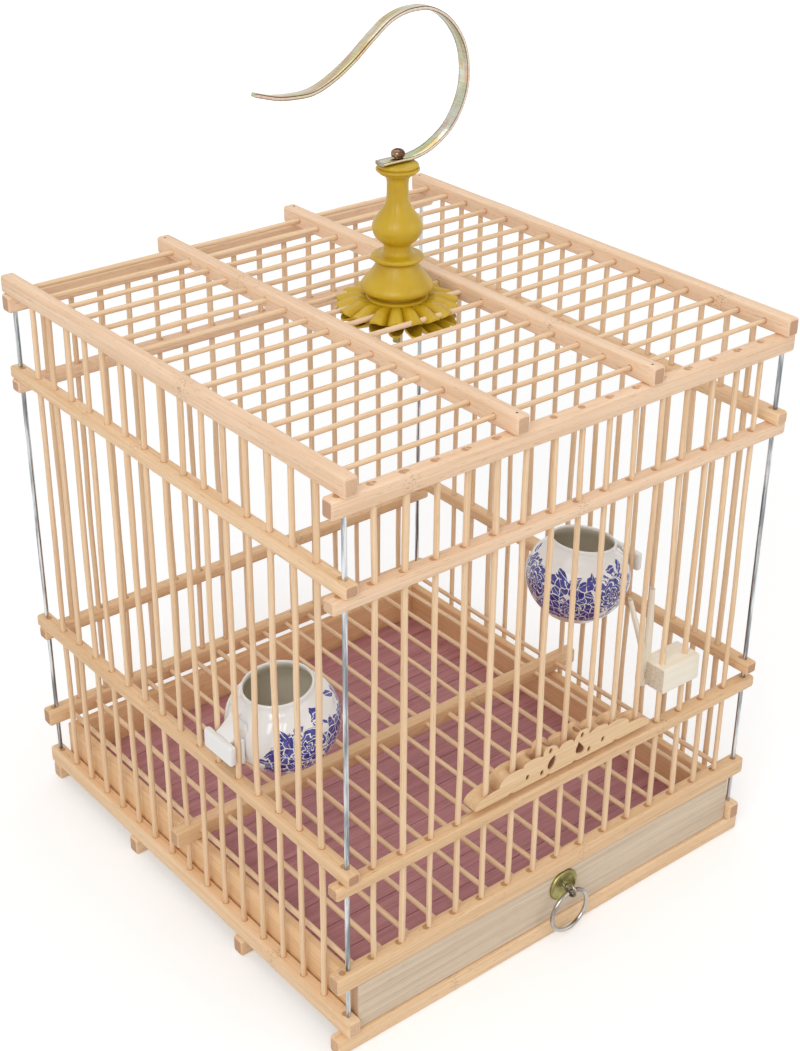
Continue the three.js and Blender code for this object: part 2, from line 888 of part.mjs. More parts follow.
// The radius that each ring follows, its share of that radius, and its share of the height
const finialShares = [
  [finialDiscRadius, 1, 0],
  [finialDiscRadius, 1, 0.027],
  [finialDiscRadius, 0.88, 0.035],
  [finialBellRadius, 0.76, 0.047],
  [finialBellRadius, 0.95, 0.064],
  [finialBellRadius, 1, 0.087],
  [finialBellRadius, 0.97, 0.113],
  [finialBellRadius, 0.78, 0.179],
  [finialBellRadius, 0.6, 0.251],
  [finialBellRadius, 0.5, 0.293],
  [finialCollarRadius, 0.94, 0.299],
  [finialCollarRadius, 1, 0.315],
  [finialCollarRadius, 0.96, 0.332],
  [finialWaistRadius, 1, 0.41],
  [finialBulbRadius, 0.72, 0.441],
  [finialBulbRadius, 0.93, 0.487],
  [finialBulbRadius, 1, 0.538],
  [finialBulbRadius, 0.95, 0.584],
  [finialBulbRadius, 0.78, 0.635],
  [finialBulbRadius, 0.58, 0.687],
  [finialNeckRadius, 1.1, 0.723],
  [finialNeckRadius, 1, 0.886],
  [finialCapRadius, 0.65, 0.914],
  [finialCapRadius, 0.92, 0.948],
  [finialCapRadius, 1, 0.968],
  [finialCapRadius, 0.9, 0.989],
  [finialCapRadius, 0.82, 1],
];

function finial() {
  const outside = finialShares.map(([radius, out, up]) => [out * radius, up * finialHeight]);
  const body = solid(turned([[0, 0], ...outside, [0, finialHeight]], finialSegments));
  const screwBoreFoot = finialHeight - screwLength;
  const screwBoreRadius = screwShankRadius + holePlay;
  const bores = [
    upright(0, 0, screwBoreFoot, finialHeight + cutOverrun, screwBoreRadius, screwSides),
    upright(0, 0, -cutOverrun, studDrop, studRadius + holePlay, screwSides),
  ];
  return without(body, bores);
}

// A petal plate: each petal rises to a crest along its middle, and a deep notch parts it from the next
const petalRingShares = [0, 1];

function petalPlate() {
  const around = petalCount * petalAngles;
  const top = [];
  const bottom = [];
  for (let i = 0; i < around; i += 1) {
    const angle = (i / around) * 2 * Math.PI;
    const swing = Math.abs(Math.cos((angle * petalCount) / 2));
    const outer = petalPlateRadius - petalScallop * swing ** notchSharpness;
    const ring = (radius, lift) => {
      top.push(radius * Math.cos(angle), radius * Math.sin(angle), petalPlateThickness + lift);
      bottom.push(radius * Math.cos(angle), radius * Math.sin(angle), lift);
    };
    ring(plateHoleRadius, 0);
    petalRingShares.forEach((share) => {
      const radius = petalHubRadius + share * (outer - petalHubRadius);
      ring(radius, share * petalCrest * (1 - swing));
    });
  }
  const rings = petalRingShares.length + 1;
  const layer = around * rings;
  const index = [];
  for (let i = 0; i < around; i += 1) {
    const next = (i + 1) % around;
    for (let j = 0; j + 1 < rings; j += 1) {
      const a = i * rings + j;
      const b = next * rings + j;
      index.push(a, a + 1, b + 1, a, b + 1, b);
      index.push(layer + a, layer + b + 1, layer + a + 1, layer + a, layer + b, layer + b + 1);
    }
    const rim = i * rings + rings - 1;
    const rimNext = next * rings + rings - 1;
    index.push(rim, layer + rim, layer + rimNext, rim, layer + rimNext, rimNext);
    const bore = i * rings;
    const boreNext = next * rings;
    index.push(bore, layer + boreNext, layer + bore, bore, boreNext, layer + boreNext);
  }
  const geometry = new THREE.BufferGeometry();
  geometry.setAttribute("position", new THREE.Float32BufferAttribute([...top, ...bottom], 3));
  geometry.setIndex(index);
  geometry.computeVertexNormals();
  return geometry;
}

bodyPiece(cage, "finial", finial(), mustardPlastic()).position.set(finialX, 0, finialBottom);
piece(cage, "upper_petals", petalPlate(), mustardPlastic()).position.set(finialX, 0, upperPlateBottom);
const lowerPetals = piece(cage, "lower_petals", petalPlate(), mustardPlastic());
lowerPetals.rotation.set(Math.PI, -lowerPlateTilt, 0);
lowerPetals.position.set(finialX, 0, lowerPlateTop);

// Clamp stud under the finial and its nut
function clampStud() {
  const low = lowerPlateBottom - studDrop;
  const high = finialBottom + studDrop - seatGap;
  return uprightGeometry(studRadius, high - low, screwSides);
}

function clampNut() {
  const cornerRadius = nutAcross / 2 / Math.cos(Math.PI / nutSides);
  const outside = uprightGeometry(cornerRadius, nutHeight, nutSides);
  const bore = uprightGeometry(studRadius + holePlay, nutHeight + 2 * cutOverrun, screwSides);
  return solid(outside).subtract(solid(bore.translate(0, 0, -cutOverrun)));
}

piece(cage, "clamp_stud", clampStud(), dullBrass()).position.set(finialX, 0, lowerPlateBottom - studDrop);
const nutBottom = lowerPlateBottom - nutDrop - nutHeight;
bodyPiece(cage, "clamp_nut", clampNut(), dullBrass()).position.set(finialX, 0, nutBottom);

// Hook: a half round steel strip, flat inside, with a tab that turns under the screw
const tabBottom = finialBottom + finialHeight + runningGap;
const tabMiddle = tabBottom + stripCrown + stripThickness / 2;
const tabTop = tabMiddle + stripThickness / 2;

// Middle line of the hook beyond its tab, as shares: right of the screw, of the bulge, or
// left of the screw, of the tip's reach; and above the tab, of the hook's rise
const hookRightShares = [
  [0.46, 0.025],
  [0.8, 0.14],
  [0.98, 0.34],
  [1, 0.53],
  [0.9, 0.72],
  [0.66, 0.89],
  [0.39, 0.985],
  [0.14, 1],
];
const hookLeftShares = [
  [0.06, 0.945],
  [0.19, 0.84],
  [0.335, 0.71],
  [0.49, 0.61],
  [0.62, 0.565],
  [0.745, 0.57],
  [0.865, 0.59],
  [1, 0.635],
];

function hookPoint(x, upShare) {
  return new THREE.Vector3(x, 0, tabMiddle + upShare * hookRise);
}

function hookPath() {
  const points = [
    hookPoint(-tabBehindScrew, 0),
    hookPoint(0, 0),
    hookPoint(tabAheadOfScrew, 0),
    ...hookRightShares.map(([out, up]) => hookPoint(out * hookBulge, up)),
    ...hookLeftShares.map(([out, up]) => hookPoint(-out * hookTipReach, up)),
  ];
  return new THREE.CatmullRomCurve3(points, false, "centripetal");
}

// The strip's section: flat towards the inside of the bend, crowned outside
function stripSection() {
  const half = stripWidth / 2;
  const inside = stripThickness / 2;
  const section = new THREE.Shape();
  section.moveTo(-inside, -half);
  section.lineTo(inside, -half);
  section.quadraticCurveTo(inside + stripCrown, -half / 2, inside + stripCrown, 0);
  section.quadraticCurveTo(inside + stripCrown, half / 2, inside, half);
  section.lineTo(-inside, half);
  section.closePath();
  return section;
}

function hook() {
  const strip = new THREE.ExtrudeGeometry(stripSection(), {
    steps: hookSteps,
    curveSegments: 2,
    extrudePath: hookPath(),
  });
  const boreRadius = screwShankRadius + screwPlay;
  const bore = upright(0, 0, tabBottom - cutOverrun, tabTop + cutOverrun, boreRadius, screwSides);
  return solid(strip).subtract(bore);
}

// The screw's head, as shares of its radius and height
const screwHeadShares = [
  [1, 0],
  [1, 0.45],
  [0.72, 0.85],
  [0, 1],
];

function hookScrew() {
  const head = screwHeadShares.map(([out, up]) => [
    out * screwHeadRadius,
    screwLength + up * screwHeadHeight,
  ]);
  const profile = [[0, 0], [screwShankRadius, 0], [screwShankRadius, screwLength], ...head];
  return turned(profile, screwSides);
}

const hookPiece = bodyPiece(cage, "hook", hook(), yellowZinc());
hookPiece.position.set(finialX, 0, 0);
const screwFoot = tabTop + runningGap - screwLength;
piece(cage, "hook_screw", hookScrew(), copperyScrew()).position.set(finialX, 0, screwFoot);

// Food clip: a block that slides on two bars beside the door, with a fork inside the cage
// The fork's outline, as shares of its reach beside the block and of its height
const forkShares = [
  [0.16, 0],
  [-0.29, 0],
  [-0.29, 0.36],
  [-1, 0.99],
  [-0.84, 1],
  [-0.07, 0.44],
  [0.03, 1],
  [0.18, 1],
  [0.29, 0.2],
];

function clipFork(low, bottom) {
  const outline = new THREE.Shape();
  outline.setFromPoints(
    forkShares.map(([out, up]) => new THREE.Vector2(out * forkReach, up * forkHeight)),
  );
  const fork = new THREE.ExtrudeGeometry(outline, { depth: forkThickness, bevelEnabled: false });
  fork.rotateX(Math.PI / 2);
  return solid(fork.translate(low, -frontY + clipBackReach, bottom));
}

function foodClip() {
  const firstBar = clipPitchCount * barPitchX;
  const secondBar = firstBar + barPitchX;
  const low = firstBar - clipRim;
  const front = -frontY - clipFrontReach;
  const bottom = waistMiddle + clipAboveWaist;
  const top = bottom + clipHeight;
  const body = block(low, secondBar + clipEdge, front, -frontY + clipBackReach, bottom, top);
  const groove = block(
    firstBar - barRadius - holePlay,
    firstBar + barRadius + holePlay,
    front - cutOverrun,
    -frontY + barRadius + holePlay,
    bottom - cutOverrun,
    top + cutOverrun,
  );
  const hole = barHole(secondBar, -frontY, bottom - cutOverrun, top + cutOverrun);
  return without(body, [groove, hole]).add(clipFork(low, bottom));
}

bodyPiece(cage, "food_clip", foodClip(), paleWood());

// The whole part, moved so that its box is centred over the origin
const part = new THREE.Group();
part.add(cage, door, drawer);
const frontReach = eyeY - eyeRadius - eyeWireRadius;
const backReach = railLengthY / 2;
part.position.y = -(frontReach + backReach) / 2;

export default part;
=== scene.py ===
"""Looks of a square bamboo bird cage: lift-up bar door, drawer, porcelain cups, finial and hook.

Metres, +Z up, the front of the cage faces -Y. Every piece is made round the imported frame.
"""
import math
import zlib

import bmesh
import bpy
import numpy as np
from mathutils import Matrix, Vector


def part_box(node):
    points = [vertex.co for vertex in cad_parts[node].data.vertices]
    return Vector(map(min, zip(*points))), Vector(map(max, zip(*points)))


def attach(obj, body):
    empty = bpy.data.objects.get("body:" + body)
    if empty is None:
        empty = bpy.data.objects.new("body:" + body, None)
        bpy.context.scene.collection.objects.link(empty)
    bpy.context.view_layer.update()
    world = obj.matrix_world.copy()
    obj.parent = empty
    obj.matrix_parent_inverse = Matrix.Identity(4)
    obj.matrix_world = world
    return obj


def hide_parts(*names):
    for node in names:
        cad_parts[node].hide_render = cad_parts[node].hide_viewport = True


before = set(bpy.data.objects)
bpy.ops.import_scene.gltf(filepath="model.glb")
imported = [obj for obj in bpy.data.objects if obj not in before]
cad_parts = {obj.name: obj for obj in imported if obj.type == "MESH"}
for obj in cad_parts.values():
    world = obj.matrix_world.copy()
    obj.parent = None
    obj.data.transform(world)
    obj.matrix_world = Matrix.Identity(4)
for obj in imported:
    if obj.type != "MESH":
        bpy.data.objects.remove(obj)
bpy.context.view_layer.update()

MM = 0.001

# Sizes of the cage that its boxes in the frame don't give
BAR_PITCH = 13.9 * MM
BAR_COUNT = 15
BAR_RADIUS = 1.25 * MM
DOOR_HALF_COUNT = 3
BAR_SEAT = 1.5 * MM
BAR_PROUD = 0.15 * MM
WAIST_HEIGHT = 5.5 * MM
WAIST_LOW = 78.8 * MM
WAIST_MIDDLE = 84.3 * MM
RIGHT_WAIST_LIFT = 3.6 * MM
ROOF_DOWEL_PITCH = 14 * MM
ROOF_DOWEL_COUNT = 16
ROOF_DOWEL_RADIUS = 1.12 * MM
FLOOR_DOWEL_COUNT = 16
FLOOR_DOWEL_RADIUS = 1.2 * MM
FLOOR_DOWEL_DROP = 3.4 * MM
RAIL_WIDTH = 6.2 * MM


def middle(node):
    """The middle of a node's box."""
    low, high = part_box(node)
    return (low + high) / 2


FLOOR_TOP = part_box("floor_beam_front")[1].z
BASE_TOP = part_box("base_rail_left")[1].z
TOP_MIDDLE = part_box("top_rail_front")[1].z
FRONT_Y = middle("top_rail_front").y
BACK_Y = middle("top_rail_back").y
SIDE_X = middle("top_rail_right").x
MID_LEFT_X = -34 * MM
CAGE_Y = middle("top_rail_right").y


def add_object(name, data):
    made = bpy.data.objects.new(name, data)
    bpy.context.collection.objects.link(made)
    return made


# Camera, at the photograph's angle
CAMERA_PLACE = (-418.5 * MM, -518.0 * MM, 518.1 * MM)
CAMERA_AZIMUTH = math.radians(-39.18)
CAMERA_ELEVATION = math.radians(28.92)
CAMERA_ROLL = math.radians(0.48)
CAMERA_LENS = 60.39


def place_camera():
    camera = add_object("camera", bpy.data.cameras.new("camera"))
    bpy.context.scene.camera = camera
    camera.data.lens = CAMERA_LENS
    camera.data.clip_start = 10 * MM
    az, el = CAMERA_AZIMUTH, CAMERA_ELEVATION
    back = Vector((math.sin(az) * math.cos(el), -math.cos(az) * math.cos(el), math.sin(el)))
    right = Vector((0, 0, 1)).cross(back).normalized()
    up = back.cross(right)
    tilted_right = right * math.cos(CAMERA_ROLL) + up * math.sin(CAMERA_ROLL)
    tilted_up = up * math.cos(CAMERA_ROLL) - right * math.sin(CAMERA_ROLL)
    turn = Matrix((tilted_right, tilted_up, back)).transposed()
    camera.matrix_world = Matrix.Translation(CAMERA_PLACE) @ turn.to_4x4()


# Colours
def srgb(red, green, blue):
    """A colour written as it shows on a screen, as linear values with alpha."""
    parts = [channel / 255 for channel in (red, green, blue)]
    return tuple(((p + 0.055) / 1.055) ** 2.4 if p > 0.04045 else p / 12.92 for p in parts) + (1.0,)


def tinted(colour, shares):
    """A colour whose red, green and blue are brought down to their shares."""
    return tuple(channel * share for channel, share in zip(colour, shares)) + (1.0,)


# Shader nodes. Sums with a Value add Math nodes
def operator(name, swapped=False):
    def method(self, other=0.0):
        return maths(name, other, self) if swapped else maths(name, self, other)
    return method


class Value:
    """The output of a shader node, to be used in sums as a number is."""

    __add__ = __radd__ = operator("ADD")
    __sub__ = operator("SUBTRACT")
    __rsub__ = operator("SUBTRACT", swapped=True)
    __mul__ = __rmul__ = operator("MULTIPLY")
    __truediv__ = operator("DIVIDE")
    __rtruediv__ = operator("DIVIDE", swapped=True)
    __mod__ = operator("FLOORED_MODULO")
    __pow__ = operator("POWER")
    __gt__ = operator("GREATER_THAN")
    __lt__ = operator("LESS_THAN")
    __abs__ = operator("ABSOLUTE")

    def __init__(self, socket):
        self.socket = socket
        self.tree = socket.id_data


def give(inputs, values):
    """Sets inputs to numbers or colours, or links them to Values."""
    for key, value in values.items():
        if isinstance(value, Value):
            value.tree.links.new(value.socket, inputs[key])
        else:
            inputs[key].default_value = value


def put(kind, values, tree=None, **settings):
    """Adds a node with its settings and inputs. Returns its outputs by number and by name."""
    if tree is None:
        tree = next(value.tree for value in values.values() if isinstance(value, Value))
    node = tree.nodes.new("ShaderNode" + kind)
    for key, value in settings.items():
        setattr(node, key, value)
    give(node.inputs, values)
    return {key: Value(socket) for i, socket in enumerate(node.outputs) for key in (i, socket.name)}


def maths(operation, *values):
    return put("Math", dict(enumerate(values)), operation=operation)[0]


def largest(a, b):
    return maths("MAXIMUM", a, b)


def distance(x, y):
    return maths("SQRT", x ** 2.0 + y ** 2.0)


def span(value, low, high, to_low=0.0, to_high=1.0):
    """Value carried from one range to another, smoothly, and held at its ends."""
    inputs = {"Value": value, "From Min": low, "From Max": high, "To Min": to_low, "To Max": to_high}
    return put("MapRange", inputs, interpolation_type="SMOOTHSTEP")[0]


def mix(share, a, b):
    return put("Mix", {0: share, 6: a, 7: b}, data_type="RGBA")[2]


def noise(vector, scale, detail=3.0, roughness=0.55, seed=0.0):
    inputs = {"Vector": vector, "Scale": scale, "Detail": detail, "Roughness": roughness, "W": seed}
    return put("TexNoise", inputs, noise_dimensions="4D")[0]


def stretched(vector, along, across):
    """Coordinates multiplied along a stick and across it."""
    scales = put("CombineXYZ", {0: along, 1: across, 2: across}, vector.tree)[0]
    return put("VectorMath", {0: vector, 1: scales}, operation="MULTIPLY")[0]


def split(vector):
    return put("SeparateXYZ", {0: vector})


def attribute(tree, name, output="Fac"):
    return put("Attribute", {}, tree, attribute_name=name)[output]


def grain_of(tree):
    return attribute(tree, "grain", "Vector")


def seen_directly(tree):
    """1 where the camera sees a surface, also in a mirror or through glass."""
    path = put("LightPath", {}, tree)
    return largest(path["Is Camera Ray"], largest(path["Is Glossy Ray"], path["Is Transmission Ray"]))


def new_group(name, inputs, outputs):
    """A shader group of floats, the Values of its inputs by name, and its outputs' sockets."""
    tree = bpy.data.node_groups.new(name, "ShaderNodeTree")
    for label, default in inputs.items():
        socket = tree.interface.new_socket(name=label, in_out="INPUT", socket_type="NodeSocketFloat")
        socket.default_value = default
    for label in outputs:
        tree.interface.new_socket(name=label, in_out="OUTPUT", socket_type="NodeSocketFloat")
    given = {socket.name: Value(socket) for socket in tree.nodes.new("NodeGroupInput").outputs}
    return tree, given, tree.nodes.new("NodeGroupOutput").inputs


def use_group(group, values, tree=None):
    return put("Group", values, tree, node_tree=group)


def new_material(name):
    material = bpy.data.materials.new(name)
    material.use_nodes = True
    tree = material.node_tree
    return material, tree, tree.nodes["Principled BSDF"].inputs


def roughen(surface, height, depth):
    """Bump on a surface from a height mask and a depth in metres."""
    give(surface, {"Normal": put("Bump", {"Height": height, "Distance": depth, "Strength": 1.0})[0]})


# Shared effects
KNOT_SPREAD = 170 * MM
KNOT_STRIDE = 61 * MM


def make_fibre_group():
    """Streaks, patches, pores, knot and end grain of bamboo, from the grain and seed of each stick."""
    inputs = {"Fibre Width": 0.6 * MM, "Fibre Length": 40 * MM}
    tree, given, result = new_group("fibre", inputs, ["Streaks", "Patches", "Pores", "Knot", "Dots"])
    grain = grain_of(tree)
    seed = attribute(tree, "seed")
    fine = stretched(grain, 1.0 / given["Fibre Length"], 1.0 / given["Fibre Width"])
    streaks = noise(fine, 1.0, 4.0, 0.6, seed)
    patches = noise(stretched(fine, 0.5, 0.16), 1.0, 2.0, 0.5, seed + 11.0)
    pores = noise(stretched(fine, 9.0, 2.4), 1.0, 1.0, 0.4, seed + 5.0)
    dots = noise(stretched(fine, 0.0, 2.2), 1.0, 1.0, 0.5, seed)
    dashes = noise(stretched(fine, 26.0, 1.3), 1.0, 1.0, 0.4, seed + 8.0)
    knot_place = seed * KNOT_STRIDE % KNOT_SPREAD - KNOT_SPREAD / 2
    from_knot = abs(split(grain)[0] - knot_place)
    rows = span(from_knot, 1.2 * MM, 5.5 * MM, 1.0, 0.0) * span(dashes, 0.56, 0.66)
    ring = span(from_knot, 0.0, 0.5 * MM, 0.35, 0.0)
    give(result, {
        "Knot": largest(rows, ring),
        "Streaks": span(streaks, 0.3, 0.72),
        "Patches": span(patches, 0.35, 0.68),
        "Pores": span(pores, 0.64, 0.74),
        "Dots": span(dots, 0.45, 0.62),
    })
    return tree


SOCKET_RIM = 0.4 * MM


def make_socket_group():
    """Painted shade: a dark rim round every bar or dowel that passes through a rail, upright or sideways."""
    inputs = {"Pitch": BAR_PITCH, "Shift": 0, "Radius": BAR_RADIUS, "Sideways": 0, "Side": 0, "Skip": 0}
    tree, given, result = new_group("bar_sockets", inputs, ["Rim"])
    parts = split(grain_of(tree))
    near = ((parts[0] / given["Pitch"] + 0.5 + given["Shift"]) % 1.0 - 0.5) * given["Pitch"]
    beside = parts[1] + (parts[2] - parts[1]) * given["Sideways"]
    rim = span(distance(near, beside) - given["Radius"], 0.0, SOCKET_RIM, 1.0, 0.0)
    on_side = parts[1] * given["Side"] > -0.1 * MM
    beside_door = abs(parts[0]) > given["Skip"]
    give(result, {"Rim": rim * (on_side * beside_door)})
    return tree


def make_wear_group():
    """Drifts of colour, drawn out along a piece by the streak, and fine scratches."""
    tree, given, result = new_group("wear", {"Mottle": 60, "Streak": 1}, ["Drift", "Scratches"])
    grain = grain_of(tree)
    seed = attribute(tree, "seed")
    drawn_out = stretched(grain, 1.0 / given["Streak"], given["Streak"])
    drift = noise(drawn_out, given["Mottle"], 3.0, 0.6, seed)
    scratches = noise(stretched(grain, 60.0, 2500.0), 1.0, 3.0, 0.6, seed)
    give(result, {"Drift": span(drift, 0.35, 0.65), "Scratches": scratches})
    return tree


def make_leaf_group():
    """A pointed leaf with a pale midrib, on the unrolled side of a cup."""
    inputs = {"U": 0, "V": 0, "Centre U": 0, "Centre V": 0, "Turn": 0, "Length": 3.4 * MM, "Width": 1.5 * MM}
    tree, given, result = new_group("leaf", inputs, ["Ink"])
    du = given["U"] - given["Centre U"]
    dv = given["V"] - given["Centre V"]
    cosine = maths("COSINE", given["Turn"])
    sine = maths("SINE", given["Turn"])
    along = du * cosine + dv * sine
    off = abs(dv * cosine - du * sine)
    blade = off < given["Width"] * (1.0 - (along / given["Length"]) ** 2.0)
    give(result, {"Ink": blade * (off > 0.12 * MM)})
    return tree


def make_blossom_group():
    """A round blossom of scalloped rings of petals on a bare ground, on the unrolled side of a cup."""
    inputs = {"U": 0, "V": 0, "Centre U": 0, "Centre V": 0, "Radius": 5 * MM, "Petals": 5, "Gap": 0.4 * MM}
    tree, given, result = new_group("blossom", inputs, ["Ink", "Ground"])
    du = given["U"] - given["Centre U"]
    dv = given["V"] - given["Centre V"]
    reach = distance(du, dv) / given["Radius"]
    turned_in = reach * 2.2 + maths("ARCTAN2", dv, du)
    lobes = abs(maths("SINE", turned_in * given["Petals"]))
    scallop = reach + (1.0 - lobes) * 0.2
    stroke = scallop * 4.4 % 1.0 > 0.26
    give(result, {"Ink": (scallop < 1.0) * stroke, "Ground": scallop < 1.0 + given["Gap"] / given["Radius"]})
    return tree


FIBRE = make_fibre_group()
SOCKETS = make_socket_group()
WEAR = make_wear_group()
LEAF = make_leaf_group()
BLOSSOM = make_blossom_group()

END_RUDDY = srgb(172, 116, 92)
DARK_SHARES = (0.45, 0.45, 0.45)
# Painted shade round the sockets: the deep colour brought down to these shares
SOCKET_SHADE_SHARES = (0.6, 0.42, 0.26)


# Finishes
def wood(name, pale, deep, end_colour, width=0.6 * MM, length=40 * MM, contrast=0.9, fleck=0.5, knot=0.0,
         roughness=0.5, sockets=None):
    """Bamboo or wood whose fibres run along each stick, with painted shade round the sockets of what passes
    through it.
    """
    material, tree, surface = new_material(name)
    fibre = use_group(FIBRE, {"Fibre Width": width, "Fibre Length": length}, tree)
    shade = fibre["Streaks"] * 0.6 + fibre["Patches"] * 0.4
    dark = tinted(deep, DARK_SHARES)
    marks = fibre["Pores"] * fleck
    if knot:
        marks = largest(marks, fibre["Knot"] * knot)
    colour = mix(marks, mix(shade * contrast, pale, deep), dark)
    own = attribute(tree, "seed") * 7.3 % 1.0
    ruddy = mix(own * 0.8, end_colour, END_RUDDY)
    speckled = mix(fibre["Dots"] * 0.5, ruddy, dark)
    colour = mix(span(attribute(tree, "end"), 0.6, 1.0), colour, speckled)
    if sockets:
        # Painted shade: a dark rim where a bar or dowel enters the rail
        rim = use_group(SOCKETS, sockets, tree)["Rim"]
        colour = mix(rim * 0.75, colour, tinted(deep, SOCKET_SHADE_SHARES))
    gloss = span(fibre["Streaks"], 0.0, 1.0, roughness, roughness + 0.15)
    give(surface, {"Base Color": colour, "Roughness": gloss})
    roughen(surface, 1.0 - (shade + fibre["Pores"] * 0.5), 0.05 * MM)
    return material


def metal(name, colour, tint, roughness, mottle=60.0, streak=1.0):
    """Plated or drawn metal with drifts of colour and fine scratches."""
    material, tree, surface = new_material(name)
    wear = use_group(WEAR, {"Mottle": mottle, "Streak": streak}, tree)
    gloss = span(wear["Scratches"], 0.3, 0.7, roughness, roughness + 0.12)
    give(surface, {"Base Color": mix(wear["Drift"], colour, tint), "Roughness": gloss, "Metallic": 1.0})
    roughen(surface, wear["Scratches"], 0.01 * MM)
    return material


def iridescent_zinc():
    """Clear chromate on zinc: silver that drifts to green, rose and gold, brown along the edges, where the
    brown lines on the rounded corners are a painted dark reflection.
    """
    material, tree, surface = new_material("yellow_zinc")
    grain = grain_of(tree)
    parts = split(grain)
    along, across, up = parts[0], parts[1], parts[2]
    wide = noise(stretched(grain, 1.0, 2.5), 38.0, 2.0, 0.5, 2.0)
    second = noise(stretched(grain, 1.0, 3.0), 60.0, 2.0, 0.5, 7.0)
    brushed = noise(stretched(grain, 1400.0, 60.0), 1.0, 3.0, 0.6)
    scored = noise(stretched(grain, 12.0, 900.0), 1.0, 2.0, 0.6)
    outward = span(up, 0.6 * MM, 0.95 * MM)
    greener = span(wide, 0.42, 0.6)
    inner_face = mix(greener, srgb(206, 206, 192), srgb(184, 196, 150))
    outer_face = mix(greener, srgb(214, 206, 184), srgb(200, 196, 150))
    plated = mix(outward, inner_face, outer_face)
    rose = mix(span(second, 0.5, 0.64), plated, srgb(204, 168, 148))
    gold = mix(span(second, 0.46, 0.38), rose, srgb(202, 176, 120))
    side = abs(across)
    walled = mix(span(side, 2.66 * MM, 2.78 * MM) * 0.6, gold, srgb(212, 184, 166))
    shaded = mix(span(brushed, 0.35, 0.65, 0.0, 0.25), walled, srgb(112, 104, 84))
    # Painted dark reflection: brown lines along the rounded corner and the foot of the strip
    corner = span(side, 2.15 * MM, 2.5 * MM) * span(up, 0.6 * MM, 0.8 * MM)
    foot = span(side, 2.5 * MM, 2.7 * MM) * span(up, -0.15 * MM, -0.35 * MM)
    lines = span(scored, 0.55, 0.66, 0.0, 0.7) * outward
    tab_end = span(along, 0.1 * MM, 0.02 * MM, 0.0, 0.5)
    # The dark colour covers the painted dark reflection along the edges, the scored lines and the tab's cut
    # end
    run = largest(largest(corner, foot), largest(lines, tab_end))
    give(surface, {"Base Color": mix(run * 0.85, shaded, srgb(72, 48, 38)), "Metallic": 1.0,
                   "Roughness": span(brushed, 0.3, 0.7, 0.14, 0.28)})
    roughen(surface, brushed, 0.012 * MM)
    return material


def moulded_plastic():
    """Mustard moulded plastic with a soft gloss and faint flow marks."""
    material, tree, surface = new_material("mustard_plastic")
    grain = grain_of(tree)
    flow = noise(grain, 90.0, 3.0, 0.5)
    fine = noise(grain, 900.0, 2.0, 0.5)
    lathe = noise(stretched(grain, 1500.0, 15.0), 1.0, 2.0, 0.5)
    give(surface, {
        "Base Color": mix(span(flow, 0.3, 0.7), srgb(202, 168, 30), srgb(190, 152, 20)),
        "Roughness": span(fine, 0.3, 0.7, 0.3, 0.42),
        "Subsurface Weight": 0.08,
        "Subsurface Radius": (2 * MM, 1.2 * MM, 0.4 * MM),
    })
    roughen(surface, flow + lathe * 0.5, 0.06 * MM)
    return material


# Blossoms on the unrolled belly of a cup: place from its inner side and its foot, radius, all in mm,
# and petals
BLOSSOMS = [
    (-41, 19.5, 8.4, 5), (-3, 19.5, 8.4, 5), (35, 19.5, 8.4, 5),
    (-22, 10.5, 5.4, 6), (16, 11.5, 5.4, 6), (54, 11, 5.4, 6),
]
BLOSSOM_GAP = 0.45 * MM
BLOSSOM_PITCH = 38 * MM
BLOSSOM_START = -3 * MM
LEAF_SIZE = 3.7 * MM
# Loose leaves round them: place in mm and turn
SPRIGS = [
    (-34, 30.4, 0.3), (-17, 30.2, -0.4), (-12, 27.4, 0.7), (10, 27, -0.5), (17, 25.6, 0.6), (24, 26.2, 1.2),
    (36, 30.2, 0.2), (43, 30.6, 0.5), (-51, 26.6, -0.9), (-58, 19.6, 0.6), (53, 24.4, 0.9), (60, 19.8, -0.5),
    (-62, 15.5, -0.2), (-60, 9.5, -0.1), (-62, 6.2, 0.1), (63, 13, 0.3),
]
PRINT_LOW = 4.2 * MM
PRINT_HIGH = 27 * MM
BIB_START = 54 * MM
BIB_END = 68 * MM
BIB_DROP = 22 * MM


